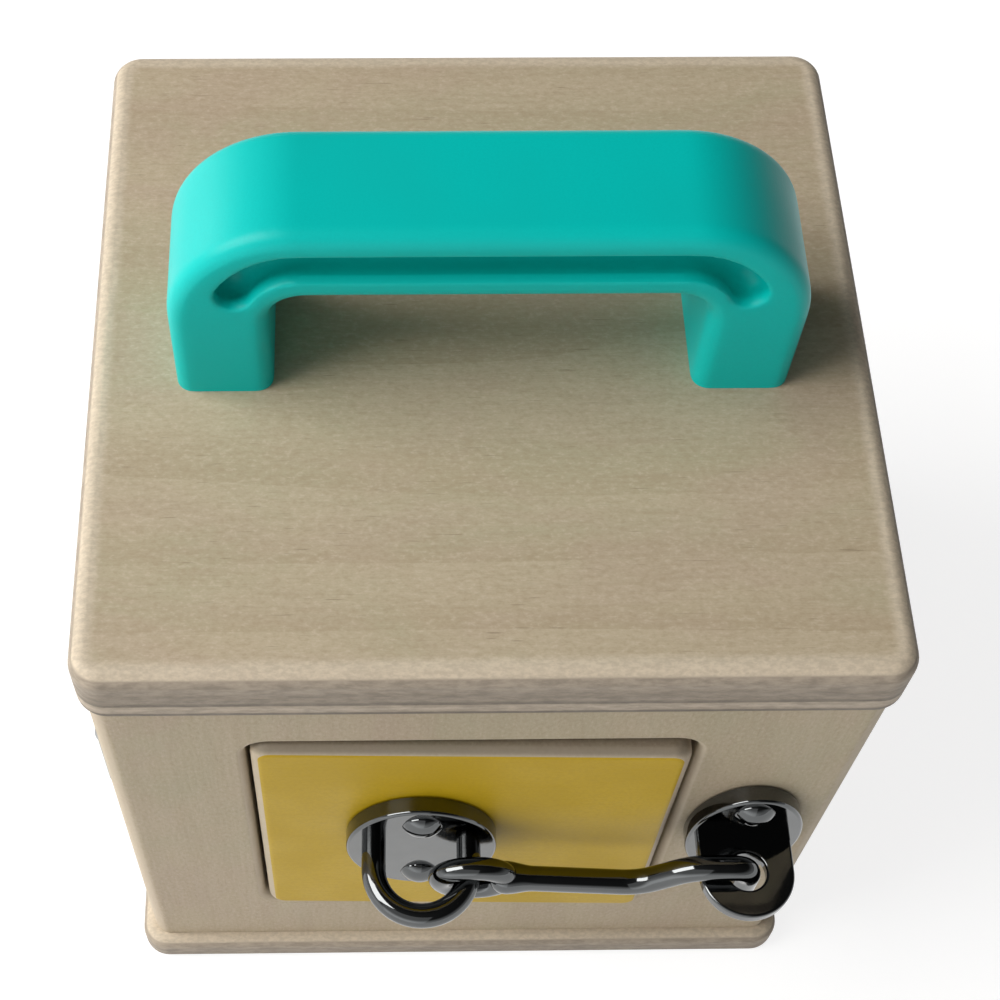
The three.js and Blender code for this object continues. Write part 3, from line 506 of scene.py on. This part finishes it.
def wood(name, grain, shift, tone=1.0, lines=1.0, plies=None, end=1.0):
    """Pale veneered plywood, its grain along an axis: soft clouds, growth rings, fibres, specks and pores.

    lines is how strongly the grain shows. plies is (low, high, over, stops) for a board: the shade of its
    layers between two heights, with painted shade and painted light among them, and how far it stands out.
    end is the shade of faces that lie flat: end grain, and painted shade, as on a door's top edge."""
    g = Graph(name)
    light, deep, pink, green, worn, ply = (shade(c, tone) for c in (
        WOOD_LIGHT, WOOD_DEEP, WOOD_PINK, WOOD_GREEN, WOOD_WORN_AND_LIT, WOOD_PLY))
    at = g.mapping(g.coordinates(), rotation=GRAIN_TURN[grain], location=shift)
    figure = g.rings(g.mapping(at, scale=(0.75, 9, 9)), scale=5.5, distortion=3.2, detail_scale=0.9)
    cloud = g.noise(at, (13, 34, 34), detail=3.0, roughness=0.55, distortion=0.6)
    blotch = g.noise(at, (24, 62, 62), detail=3.0, roughness=0.6, distortion=0.8, location=(3.1, 1.7, 0.4))
    fibre = g.noise(at, (60, 900, 900), detail=3.0, roughness=0.65)
    speck = g.noise(at, (760, 1300, 1300), roughness=0.65, location=(4.0, 2.0, 9.0))
    pore = g.noise(at, (150, 2300, 2300), detail=1.0, location=(2.0, 8.0, 1.0))
    colour = g.stain(light, deep, figure, 0.40, 1.0, most=0.30 * lines)
    colour = g.stain(colour, green, cloud, 0.40, 0.70, most=0.75)
    colour = g.stain(colour, pink, blotch, 0.44, 0.72, most=0.75)
    colour = g.stain(colour, deep, fibre, 0.40, 0.78, most=0.22 * lines)
    colour = g.stain(colour, deep, speck, 0.46, 0.72, most=0.42)
    colour = g.stain(colour, worn, speck, 0.48, 0.26, most=0.40)
    colour = g.stain(colour, shade(deep, 0.62), pore, 0.70, 0.82, most=0.40 * lines)
    height = g.math("ADD", g.math("ADD", fibre, speck), g.math("MULTIPLY", pore, PORE_RISE))
    if plies:
        low, high, over, stops = plies
        level = g.step(g.split(g.coordinates())["Z"], low * MM, high * MM, kind="LINEAR")
        # The layers' shades carry painted shade and painted light as well as the plies
        layer_light_and_shade = g.ramp(level, [(at_level, shade(ply, factor)) for at_level, factor in stops])
        torn = g.noise(g.coordinates(), (260, 260, 800), detail=3.0, roughness=0.7)
        cut = g.times(layer_light_and_shade, g.step(torn, 0.30, 0.72, 1.18, 0.80))
        # The rim of the board's top is painted paler: sanded wood, and painted light where its edge rounds over
        sanded_and_lit = g.times(worn, g.step(speck, 0.30, 0.70, 1.06, 0.86))
        inset = g.inset(BODY_W / 2 + over, BODY_D / 2 + over, BOARD_CORNER)
        inset = g.math("ADD", inset, g.math("MULTIPLY", blotch, SANDED_LIT_WANDER * MM))
        colour = g.stain(colour, sanded_and_lit, inset, SANDED_LIT_FROM * MM, SANDED_LIT_FULL * MM, most=0.88)
        ragged = g.math("ADD", level, g.math("MULTIPLY", torn, VENEER_RAGGED / (high - low)))
        under = g.step(ragged, *veneer_fade(high - low))
        colour = g.mix(under, colour, cut)
        height = g.math("ADD", height, g.math("MULTIPLY", g.math("MULTIPLY", torn, under), TORN_RISE))
    else:
        # Round-overs are painted paler: worn wood, and painted light where the edges catch it
        colour = g.mix(g.math("MULTIPLY", g.rounding(low=0.93, high=0.995), 0.55), colour, worn)
    # Faces that lie flat are darkened: end grain, and painted shade, as on a door's top edge under its doorway
    if end != 1.0:
        colour = g.times(colour, g.step(g.level_normal(), 0.25, 0.75, 1.0, end))
    g.set(Base_Color=colour, Roughness=g.step(fibre, 0.2, 0.8, 0.50, 0.64), Specular_IOR_Level=0.3,
          Normal=g.bump(height, strength=0.14, distance=0.0003))
    return g.material


def paint(name, colour):
    """Satin paint on wood: the grain shows faintly through, and the coat is slightly uneven."""
    g = Graph(name)
    at = g.coordinates()
    fibre = g.noise(at, (60, 60, 900), roughness=0.6)
    cloud = g.noise(at, (34, 34, 34))
    speck = g.noise(at, (1400, 1400, 1400), roughness=0.6)
    mixed = g.stain(colour, shade(colour, 0.86), cloud, 0.3, 0.7, most=0.8)
    mixed = g.stain(mixed, shade(colour, 0.84), fibre, 0.45, 0.8, most=0.15)
    mixed = g.stain(mixed, shade(colour, 0.80), speck, 0.35, 0.7, most=0.45)
    peel = g.noise(at, (700, 700, 700), detail=1.0)
    g.set(Base_Color=mixed, Roughness=g.step(cloud, 0.3, 0.7, 0.40, 0.50), Specular_IOR_Level=0.18,
          Normal=g.bump(g.math("ADD", peel, fibre), strength=0.10, distance=0.0003))
    return g.material


def plastic(name, colour):
    """Moulded plastic with a fine satin skin."""
    g = Graph(name)
    at = g.coordinates()
    cloud = g.noise(at, (26, 26, 26))
    skin = g.noise(at, (2400, 2400, 2400), detail=1.0)
    tint = g.stain(colour, shade(colour, 0.94), cloud, 0.3, 0.7, most=1.0)
    tint = g.stain(tint, shade(colour, 0.92), skin, 0.35, 0.7, most=0.5)
    g.set(Base_Color=tint, Roughness=g.step(cloud, 0.3, 0.7, 0.38, 0.44), Specular_IOR_Level=0.20,
          Normal=g.bump(skin, strength=0.06, distance=0.0002))
    return g.material


def metal(name, colour, low, high, scratch):
    """Plated metal, its roughness from low to high, with faint handling marks in its polish."""
    g = Graph(name)
    at = g.coordinates()
    haze = g.noise(at, (160, 160, 160), detail=3.0, roughness=0.6)
    marks = g.noise(g.mapping(at, rotation=(0.3, 0.5, 0.7)), (300, 2400, 2400), roughness=0.6)
    tint = g.stain(colour, shade(colour, 0.85), haze, 0.3, 0.75, most=0.6)
    worn = g.math("ADD", haze, g.math("MULTIPLY", marks, 0.4))
    g.set(Base_Color=tint, Metallic=1.0, Roughness=g.step(worn, 0.4, 1.0, low, high),
          Normal=g.bump(marks, scratch, distance=0.0001))
    return g.material


# Layers of the boards' cut edges: a share of the thickness, and how light the wood is there. In the lid the
# lowest band is painted shade under the lid where it meets the wall; both boards grow lighter towards their
# top round-over, partly plies and partly painted light
LID_LAYERS_LIGHT_AND_SHADE = [(0.0, 0.55), (0.20, 0.60), (0.225, 1.25), (0.30, 1.45), (0.375, 1.30), (0.395, 0.64),
              (0.435, 0.70), (0.48, 0.98), (0.64, 0.94), (0.72, 1.08), (0.85, 1.16)]
BASE_LAYERS_AND_LIGHT = [(0.0, 0.80), (0.18, 0.95), (0.40, 1.05), (0.60, 1.0), (0.72, 1.20)]
lid_plies = (WALL_TOP, WALL_TOP + LID_T, LID_OVER, LID_LAYERS_LIGHT_AND_SHADE)
base_plies = (0, BASE_T, BASE_OVER, BASE_LAYERS_AND_LIGHT)
lid_wood = wood("lid_wood", "x", (0.045, -0.012, -0.02), tone=1.10, lines=1.35, plies=lid_plies)
base_wood = wood("base_wood", "x", (0.110, 0.470, 0.20), tone=1.10, plies=base_plies)
front_wood = wood("front_wood", "z", (0.052, 0.021, 0.033), tone=1.01, lines=0.45)
back_wood = wood("back_wood", "z", (0.077, 0.091, 0.013), tone=1.01, lines=0.45)
side_wood = wood("side_wood", "z", (0.023, 0.037, 0.061), tone=1.01, lines=0.45)
# The doors' flat-lying top and bottom edges are darkened: end grain, and painted shade under the doorway
door_wood = wood("door_wood", "z", (0.041, 0.015, 0.083), lines=0.6, end=0.55)
bar_wood = wood("bar_wood", "x", (0.015, 0.063, 0.029), tone=1.04)
yellow = paint("yellow_paint", (0.538, 0.353, 0.006))
red = paint("red_paint", (0.460, 0.050, 0.035))
blue = paint("blue_paint", (0.030, 0.150, 0.400))
green = paint("green_paint", (0.075, 0.290, 0.080))
turquoise = plastic("turquoise_plastic", (0.0, 0.512, 0.472))
# The nickel's colour is darker than the real plating: the dim room that it reflects is painted into it as shade
nickel = metal("nickel_with_painted_shade", (0.126, 0.131, 0.133), low=0.04, high=0.10, scratch=0.02)
steel = metal("zinc_steel", (0.520, 0.530, 0.540), low=0.25, high=0.40, scratch=0.10)

# Materials of the CAD nodes by how their names start, the first that fits. All others are nickel
CAD_MATERIALS = {
    "lid_board": lid_wood, "base_board": base_wood, "lid_dowel": base_wood, "front_wall": front_wood,
    "back_wall": back_wood, "left_wall": side_wood, "right_wall": side_wood, "slide_bar": bar_wood,
    "bar_guide": bar_wood, "handle_screw": steel, "handle": turquoise, "base_screw": steel,
    "front_door": door_wood, "right_door": door_wood, "back_door": door_wood, "left_door": door_wood,
    "front_pin": steel, "right_pin": steel, "back_pin": steel, "left_pin": steel,
}
for name, node in nodes.items():
    matches = [material for start, material in CAD_MATERIALS.items() if name.startswith(start)]
    node.data.materials.clear()
    node.data.materials.append(matches[0] if matches else nickel)
    smoothed(node)


# Boards, the base with countersunk holes for its screws
def board(name, over, thick, edge, level, material):
    outline = rectangle(BODY_W + 2 * over, BODY_D + 2 * over, BOARD_CORNER)
    return mesh_object(name, moved(slab(outline, thick, edge, edge), 0, 0, level), material)


def countersink(x, y):
    reach, shank = BASE_SCREW_R + BORE_GAP, BASE_SCREW_R / 2 + BORE_GAP
    sink = BASE_SCREW_SINK + reach - shank
    profile = [(reach, CUT_PAST), (reach, -BASE_SCREW_SINK), (shank, -sink), (shank, -2 * BASE_T)]
    verts, faces = lathe(profile)
    return [(x + vx, y + vz, -vy) for vx, vy, vz in verts], faces


lid = board("lid", LID_OVER, LID_T, LID_EDGE, WALL_TOP, lid_wood)
finer(smoothed(lid), "lid_board", "box")
base = board("base", BASE_OVER, BASE_T, BASE_EDGE, 0, base_wood)
screws = [(x * BASE_SCREW_X, y * BASE_SCREW_Y) for x in (-1, 1) for y in (-1, 1)]
carved(base, joined(*(countersink(x, y) for x, y in screws)))
finer(smoothed(base), "base_board", "box")


# Walls with rounded doorways, and doors whose paint just turns over the edge of their face
def pin_bores():
    levels = [(WALL_LOW, DOOR_LOW + PIN_GRIP + BORE_GAP), (DOOR_HIGH - PIN_GRIP - BORE_GAP, WALL_TOP)]
    radii, axes = [PIN_R + BORE_GAP] * 2, [[(PIN_X, PIN_Y, z) for z in ends] for ends in levels]
    return joined(*(tube(axis, radii, BORE_SIDES, domed=False) for axis in axes))


def doorway():
    flare = [(-inset, -level) for inset, level in rim(DOORWAY_EDGE)]
    rings = [(0, -WALL_T - DOORWAY_EDGE)] + flare[::-1] + [(-DOORWAY_EDGE, DOORWAY_EDGE)]
    outline = rectangle(DOORWAY_R - DOORWAY_L, DOORWAY_HIGH - DOORWAY_LOW, DOORWAY_CORNER)
    return stood(loft(outline, rings), (DOORWAY_L + DOORWAY_R) / 2, 0, (DOORWAY_LOW + DOORWAY_HIGH) / 2)


def wall_panel(length, corner):
    """A wall's plan, with its outer corners rounded, over the wall's height."""
    def plan(_):
        half, r = length / 2, max(corner, POINT_R)
        turn = arc_points(half - r, r, r, 0, -90, steps=10)
        return [(half, WALL_T)] + turn + [(-x, y) for x, y in turn[::-1]] + [(-half, WALL_T)]
    return loft(plan, [(0, WALL_LOW), (0, WALL_TOP)])


for side, length, corner, material in (("front", BODY_W, WALL_CORNER, front_wood),
                                       ("back", BODY_W, WALL_CORNER, back_wood),
                                       ("right", BODY_D - 2 * WALL_T, 0, side_wood),
                                       ("left", BODY_D - 2 * WALL_T, 0, side_wood)):
    wall = mesh_object(f"{side}_panel", on_side(wall_panel(length, corner), side), material)
    carved(wall, on_side(doorway(), side))
    carved(wall, on_side(pin_bores(), side))
    finer(smoothed(wall), f"{side}_wall", "box")

door_outline = rectangle(DOOR_R - DOOR_L, DOOR_HIGH - DOOR_LOW, DOOR_CORNER)
door_slab = slab(door_outline, DOOR_T, DOOR_BACK_EDGE, DOOR_EDGE)
back_face, front_face = len(door_slab[1]) - 2, len(door_slab[1]) - 1
painted = [*range(back_face - PAINTED_RINGS * len(door_outline(0)), back_face), front_face]
door_slab = stood(door_slab, (DOOR_L + DOOR_R) / 2, DOOR_FACE + DOOR_T, (DOOR_LOW + DOOR_HIGH) / 2)
for side, colour, slot in (("front", yellow, "yellow_paint"), ("right", red, "red_paint"),
                           ("back", blue, "blue_paint"), ("left", green, "green_paint")):
    ajar = AJAR if side == "front" else 0.0
    door = mesh_object(f"{side}_door_panel", on_side(door_slab, side, ajar), door_wood, colour)
    for face in painted:
        door.data.polygons[face].material_index = 1
    carved(door, on_side(pin_bores(), side, ajar))
    finer(smoothed(door), f"{side}_door", f"{side}_door")


# Handle: the arch and its two finger grooves, melted together so that every edge is moulded soft
def groove(y):
    level, bend = HANDLE_H - GROOVE_DROP, HANDLE_L / 2 - GROOVE_INSET - GROOVE_BEND
    left = arc_points(-bend, level - GROOVE_BEND, GROOVE_BEND, 180 - GROOVE_END, 90, steps=16)
    route = [(x, y, z) for x, z in left + [(-x, z) for x, z in left[::-1]]]
    return tube(route, [GROOVE_R] * len(route), GROOVE_SIDES)


def moulded_handle():
    rims = stood(slab(arch(), HANDLE_D, HANDLE_EDGE, HANDLE_EDGE), 0, HANDLE_D / 2, WALL_TOP + LID_T)
    obj = mesh_object("handle_moulding", rims, turquoise)
    for way, sink in ((-1, 0), (-1, GROOVE_SINK), (1, 0), (1, GROOVE_SINK)):
        carved(obj, moved(groove(way * (HANDLE_D / 2 - sink)), 0, 0, WALL_TOP + LID_T))
    remesh = obj.modifiers.new("remesh", "REMESH")
    remesh.mode, remesh.voxel_size = "VOXEL", HANDLE_VOXEL * MM
    relax = obj.modifiers.new("relax", "SMOOTH")
    relax.factor, relax.iterations = 0.5, HANDLE_RELAX
    settled(obj)
    spare = cuboid((-HANDLE_L, -HANDLE_D, -2 * HANDLE_SPARE), (HANDLE_L, HANDLE_D, 0))
    return smoothed(carved(obj, moved(spare, 0, 0, WALL_TOP + LID_T)))


finer(moulded_handle(), "handle", "box")


# Fastenings, each built in the frame of its side
PLACES = (("upper", 1), ("lower", -1))


def fitting(name, shape, node, body, side, material=nickel, ajar=0.0):
    """A piece that stands for a CAD node, from a shape in its side's frame."""
    obj = mesh_object(name, on_side(shape, side, ajar), material)
    finer(smoothed(obj, FITTING_CREASE), node, body)


def domed_head(radius, rise, sunk=HEAD_SUNK):
    """A screw's head as part of a ball, sunk into the plate that it holds."""
    ball = (radius ** 2 + rise ** 2) / (2 * rise)
    edge = math.asin(radius / ball)
    lean = [edge * (1 - k / HEAD_STEPS) for k in range(HEAD_STEPS + 1)]
    dome = [(max(ball * math.sin(a), POINT_R), rise - ball * (1 - math.cos(a))) for a in lean]
    return lathe(([(radius, -sunk)] if sunk else []) + dome)


def oval_plate(width, height, x, face):
    return stood(slab(oval(width, height), PLATE_T, 0, PLATE_RIM), x, face + PLATE_T, LATCH)


# Front: the hook's plate and bail on the door, the keeper with its pierced tongue on the wall
def bail():
    turn = BAIL_REACH - BAIL_R - BAIL_SPAN / 2
    half = BAIL_SPAN / 2
    bow = [(-half, -PLATE_T), (-half, 0)] + arc_points(0, turn, half, 180, 0, steps=40)
    bow += [(half, 0), (half, -PLATE_T)]
    route = [(PLATE_X + x, PLATE_FACE - out, LATCH) for x, out in bow]
    return tube(route, [BAIL_R] * len(route), ROD_SIDES, domed=False)


def tongue():
    """A flat tongue with a round end and a hole, rounded along all its edges."""
    half = TONGUE_W / 2
    turn = TONGUE_REACH - half
    around = full_turn(OVAL_SIDES)
    edge = rim(TONGUE_EDGE, steps=5)
    levels = edge + [(inset, TONGUE_T - z) for inset, z in edge][::-1]

    def outer(inset, a):
        c, s = math.cos(a), math.sin(a)
        reach = half - inset
        if s < 0:
            reach = min(reach / max(abs(c), 1e-6), (turn + PLATE_T / 2) / abs(s))
        return c * reach, turn + s * reach

    rings = [[(*outer(inset, a), level) for a in around] for inset, level in levels]
    for inset, level in levels[::-1]:
        r = TONGUE_HOLE + inset
        rings.append([(r * math.cos(a), turn + r * math.sin(a), level) for a in around])
    verts = [(KEEPER_X + x, KEEPER_FACE - y, TONGUE_TOP - TONGUE_T + z) for ring in rings for x, y, z in ring]
    return verts, ring_faces(len(rings), OVAL_SIDES, looped=True)


def hook():
    """The eye, drawn out along the rod, and a rod that swells smoothly into it."""
    end = TONGUE_TOP + HOOK_LIFT
    start = EYE_X + EYE_R + EYE_STRETCH + EYE_SHIFT
    corners = [(start, HOOK_Y, EYE_Z), (KEEPER_X - CRANK_FOOT, HOOK_Y, EYE_Z - HOOK_DIP),
               (KEEPER_X - CRANK_HEAD, HOOK_Y, end + HOOK_SLOPE), (KEEPER_X, HOOK_Y, end),
               (KEEPER_X, HOOK_Y, TONGUE_TOP - TONGUE_T - TIP_BELOW)]
    route = bent(corners, HOOK_BEND, steps=10, stride=0.6)
    radii = []
    for p in route:
        t = min((p - route[0]).length / NECK_L, 1.0)
        radii.append(HOOK_R + (NECK_R - HOOK_R) * (1 - t * t * (3 - 2 * t)))
    ring, faces = torus(EYE_R, EYE_TUBE, EYE_AROUND, EYE_SIDES)
    eye = [(x * (1 + EYE_STRETCH / EYE_R) + EYE_SHIFT, y, z) for x, y, z in ring], faces
    return joined(moved(eye, EYE_X, HOOK_Y, EYE_Z), tube(route, radii, ROD_SIDES))


plate = oval_plate(PLATE_W, PLATE_H, PLATE_X, PLATE_FACE)
fitting("hook_plate_oval", plate, "hook_plate", "front_door", "front", ajar=AJAR)
fitting("bail_rod", bail(), "hook_bail", "front_door", "front", ajar=AJAR)
fitting("hook_rod", hook(), "hook", "hook", "front")
keeper = joined(oval_plate(KEEPER_W, KEEPER_H, KEEPER_X, KEEPER_FACE), tongue())
fitting("keeper_casting", keeper, "hook_keeper", "box", "front")
for place, way in PLACES:
    head = domed_head(SCREW_R, SCREW_RISE)
    on_plate = moved(head, PLATE_X, PLATE_FACE, LATCH + way * PLATE_SCREW)
    fitting(f"hook_plate_head_{place}", on_plate, f"hook_plate_screw_{place}", "front_door", "front",
            ajar=AJAR)
    on_keeper = moved(head, KEEPER_X, KEEPER_FACE, LATCH + way * KEEPER_SCREW)
    fitting(f"keeper_head_{place}", on_keeper, f"keeper_screw_{place}", "box", "front")


# Right: a barrel bolt in two straps, and the strap on the wall that it shoots into
def strap(x, face):
    inner, outer = BOLT_R + SLIDE_GAP, BOLT_R + SLIDE_GAP + STRAP_WALL
    rise = face - BOLT_Y
    foot = [(-outer, -BOLT_PLATE_T / 2), (-inner, -BOLT_PLATE_T / 2)]
    over = arc_points(0, rise, inner, 180, 0) + [(inner, -BOLT_PLATE_T / 2), (outer, -BOLT_PLATE_T / 2)]
    section = foot + over + arc_points(0, rise, outer, 0, 180)
    verts, faces = loft(lambda _: section, [(0, -STRAP_W / 2), (0, STRAP_W / 2)])
    return [(x + w, face - out, LATCH + up) for up, out, w in verts], faces


def bolt_plate(length, x, face):
    outline = rectangle(length, BOLT_PLATE_H, BOLT_PLATE_CORNER)
    return stood(slab(outline, BOLT_PLATE_T, 0, BOLT_PLATE_T / 4), x, face + BOLT_PLATE_T, LATCH)


def bolt():
    ends = [(BOLT_LOW, -1), (BOLT_LOW + BOLT_BEVEL, 0), (BOLT_HIGH - BOLT_BEVEL, 0), (BOLT_HIGH, -1)]
    radii = [BOLT_R + step * BOLT_BEVEL for _, step in ends]
    rod = tube([(x, BOLT_Y, LATCH) for x, _ in ends], radii, ROD_SIDES, domed=False)
    start = -math.degrees(math.acos(KNOB_STEM / KNOB_R))
    swell = arc_points(0, KNOB_REACH, KNOB_R, start, KNOB_END, steps=16)
    return joined(rod, moved(lathe([(KNOB_STEM, 0)] + swell), KNOB_X, BOLT_Y, LATCH))


straps = [strap(BOLT_X + way * STRAP_SPREAD, BOLT_FACE) for way in (-1, 1)]
plate = joined(bolt_plate(BOLT_PLATE_L, BOLT_X, BOLT_FACE), *straps)
fitting("bolt_plate_and_straps", plate, "bolt_plate", "right_door", "right")
fitting("bolt_rod_and_knob", bolt(), "slide_bolt", "slide_bolt", "right")
plate = bolt_plate(BOLT_KEEPER_L, BOLT_KEEPER_X, BOLT_KEEPER_FACE)
keeper = joined(plate, strap(BOLT_KEEPER_X, BOLT_KEEPER_FACE))
fitting("bolt_keeper_strap", keeper, "bolt_keeper", "box", "right")
for place, way in PLACES:
    head = moved(domed_head(SMALL_R, SMALL_RISE), 0, 0, LATCH + way * BOLT_SCREW)
    on_plate = moved(head, BOLT_X, BOLT_FACE, 0)
    fitting(f"bolt_head_{place}", on_plate, f"bolt_screw_{place}", "right_door", "right")
    on_keeper = moved(head, BOLT_KEEPER_X, BOLT_KEEPER_FACE, 0)
    fitting(f"bolt_keeper_head_{place}", on_keeper, f"bolt_keeper_screw_{place}", "box", "right")

# Left: a turn button on its screw, whose head stays clear of it so that it turns
button_outline = rectangle(BUTTON_W, BUTTON_L, BUTTON_W / 2, steps=20)
button = slab(button_outline, BUTTON_T, BUTTON_EDGE / 2, BUTTON_EDGE)
button = stood(button, BUTTON_X, BUTTON_FACE + BUTTON_T, LATCH)
hub = lathe([(HUB_R, SEAT_GAP), (HUB_R, -BUTTON_FACE - BUTTON_T / 2)])
button = joined(button, moved(hub, BUTTON_X, 0, LATCH))
fitting("button_bar", button, "turn_button", "turn_button", "left")
head = moved(domed_head(SMALL_R, SMALL_RISE, sunk=0), BUTTON_X, BUTTON_FACE - SEAT_GAP, LATCH)
fitting("button_head", head, "turn_button_screw", "box", "left")


# Back: a wooden bar with a peg, in two guides on the door and one on the wall
def guide(name, x, back, node, body):
    """A block with a notch that the bar slides in."""
    deep = back - BAR_FRONT + SLIDE_GAP + GUIDE_COVER
    block = slab(rectangle(GUIDE_W, GUIDE_H, GUIDE_EDGE), deep, 0, GUIDE_EDGE)
    obj = mesh_object(name, on_side(stood(block, x, back, LATCH), "back"), bar_wood)
    half = BAR_H / 2 + SLIDE_GAP
    low, high = (x - GUIDE_W, BAR_FRONT - SLIDE_GAP, LATCH - half), (x + GUIDE_W, back + BAR_T, LATCH + half)
    notch = cuboid(low, high)
    finer(smoothed(carved(obj, on_side(notch, "back"))), node, body)


guide("guide_block_inner", GUIDE_INNER_X, DOOR_FACE - SEAT_GAP, "bar_guide_inner", "back_door")
guide("guide_block_outer", GUIDE_OUTER_X, DOOR_FACE - SEAT_GAP, "bar_guide_outer", "back_door")
guide("guide_block_wall", GUIDE_WALL_X, -SEAT_GAP, "bar_guide_wall", "box")
peg_end = [(PEG_R - inset, PEG_REACH - level) for inset, level in rim(BAR_EDGE)][::-1]
peg = lathe([(PEG_R, -BAR_T / 2)] + peg_end)
slider = slab(rectangle(BAR_L, BAR_H, BAR_EDGE), BAR_T, BAR_EDGE, BAR_EDGE)
slider = stood(slider, BAR_X, BAR_FRONT + BAR_T, LATCH)
slider = joined(slider, moved(peg, PEG_X, BAR_FRONT, LATCH))
fitting("bar_and_peg", slider, "slide_bar", "slide_bar", "back", bar_wood)


# Floor: matt and pale. It is lifted to white where the camera or a reflection sees it, and keeps the shadow
# Metres for its size, its drop and the distances between which the lift grows to full
FLOOR_SIZE, FLOOR_DROP, FLOOR_NEAR, FLOOR_FAR = 6.0, 0.0002, 0.45, 1.5
FLOOR_PALE, FLOOR_SEEN, FLOOR_LIFT, FLOOR_ROUGH = 0.92, 0.35, 0.82, 0.9
floor_corners = [(x * FLOOR_SIZE, y * FLOOR_SIZE, 0) for x, y in ((-1, -1), (1, -1), (1, 1), (-1, 1))]
floor_mesh = bpy.data.meshes.new("floor")
floor_mesh.from_pydata(floor_corners, [], [(0, 1, 2, 3)])
floor = bpy.data.objects.new("floor", floor_mesh)
floor.location.z = -FLOOR_DROP
bpy.context.scene.collection.objects.link(floor)
g = Graph("pale_floor")
path = g.node("LightPath").outputs
seen = g.math("MAXIMUM", path["Is Camera Ray"], path["Is Glossy Ray"])
tint = g.mix(seen, (FLOOR_PALE,) * 3, (FLOOR_SEEN,) * 3)
away = g.node("VectorMath")
away.operation = "LENGTH"
g.put(away.inputs[0], g.coordinates())
lift = g.step(away.outputs["Value"], FLOOR_NEAR, FLOOR_FAR, FLOOR_LIFT, 1.0)
g.set(Base_Color=tint, Roughness=FLOOR_ROUGH, Specular_IOR_Level=0.0, Emission_Color=(1, 1, 1),
      Emission_Strength=g.math("MULTIPLY", seen, lift))
floor_mesh.materials.append(g.material)

# World: a room that is bright low down in front and on the left, dim behind and on the right, dark overhead
# For an axis: between which directions along it the brightness changes, and from what to what
SKY_FADES = (("Z", 0.06, 0.50, 1.4, 0.09), ("X", -0.6, 0.7, 1.0, 0.36), ("Y", -0.6, 0.6, 1.0, 0.48))
world = bpy.data.worlds.new("studio")
bpy.context.scene.world = world
world.use_nodes = True
tree = world.node_tree
tree.nodes.clear()
towards = tree.nodes.new("ShaderNodeSeparateXYZ")
tree.links.new(tree.nodes.new("ShaderNodeTexCoord").outputs["Generated"], towards.inputs[0])


def sky_fade(axis, low, high, to_low, to_high, times):
    """A soft step in brightness along an axis, times an earlier one where there is one."""
    fade = tree.nodes.new("ShaderNodeMapRange")
    fade.interpolation_type = "SMOOTHSTEP"
    for socket, value in (("From Min", low), ("From Max", high), ("To Min", to_low), ("To Max", to_high)):
        fade.inputs[socket].default_value = value
    tree.links.new(towards.outputs[axis], fade.inputs["Value"])
    if times is None:
        return fade.outputs["Result"]
    product = tree.nodes.new("ShaderNodeMath")
    product.operation = "MULTIPLY"
    tree.links.new(times, product.inputs[0])
    tree.links.new(fade.outputs["Result"], product.inputs[1])
    return product.outputs[0]


glow = None
for fade in SKY_FADES:
    glow = sky_fade(*fade, glow)
sky = tree.nodes.new("ShaderNodeBackground")
tree.links.new(glow, sky.inputs["Strength"])
tree.links.new(sky.outputs["Background"], tree.nodes.new("ShaderNodeOutputWorld").inputs["Surface"])
sky.inputs["Color"].default_value = (1, 1, 1, 1)


def lamp(name, direction, distance, size, power, colour):
    """A square soft box that looks at the middle of the part."""
    data = bpy.data.lights.new(name, "AREA")
    data.shape, data.size, data.energy, data.color = "SQUARE", size, power, colour
    obj = bpy.data.objects.new(name, data)
    bpy.context.scene.collection.objects.link(obj)
    target = Vector((0, 0, (cad_box[0][2] + cad_box[1][2]) / 2))
    obj.location = target + Vector(direction).normalized() * distance
    obj.rotation_mode = "QUATERNION"
    obj.rotation_quaternion = (target - obj.location).to_track_quat("-Z", "Y")


# Direction, distance and size in metres, watts and colour. The key is the photograph's main light
WARM, WHITE = (1.0, 0.985, 0.96), (1.0, 1.0, 1.0)
lamp("key", (-0.70, -0.05, 0.70), distance=1.5, size=1.10, power=27.2, colour=WARM)
lamp("window", (-0.80, 0.50, 0.20), distance=1.5, size=0.70, power=3.4, colour=WHITE)
lamp("fill", (-0.35, -0.80, 0.42), distance=1.4, size=1.60, power=3.0, colour=WHITE)

# Camera at the photograph's view, with about half of its shift so that other views stay in frame
SENSOR, LENS, SHIFT_X, SHIFT_Y, CLIP_START, CLIP_END = 36.0, 66.338, 0.115, 0.048, 0.01, 50.0
VIEW_RIGHT, VIEW_UP = (0.999897, -0.012428, 0.007185), (0.007255, 0.869367, 0.494114)
VIEW_BACK, VIEW_FROM = (-0.012388, -0.494011, 0.869367), (-0.0231239, -0.2113559, 0.4404967)
camera_data = bpy.data.cameras.new("camera")
camera_data.sensor_width, camera_data.lens = SENSOR, LENS
camera_data.shift_x, camera_data.shift_y = SHIFT_X, SHIFT_Y
camera_data.clip_start, camera_data.clip_end = CLIP_START, CLIP_END
view = Matrix((VIEW_RIGHT, VIEW_UP, VIEW_BACK)).transposed().to_4x4()
view.translation = VIEW_FROM
camera = bpy.data.objects.new("camera", camera_data)
camera.matrix_world = view
bpy.context.scene.collection.objects.link(camera)
bpy.context.scene.camera = camera
bpy.context.scene.view_settings.view_transform = "Standard"
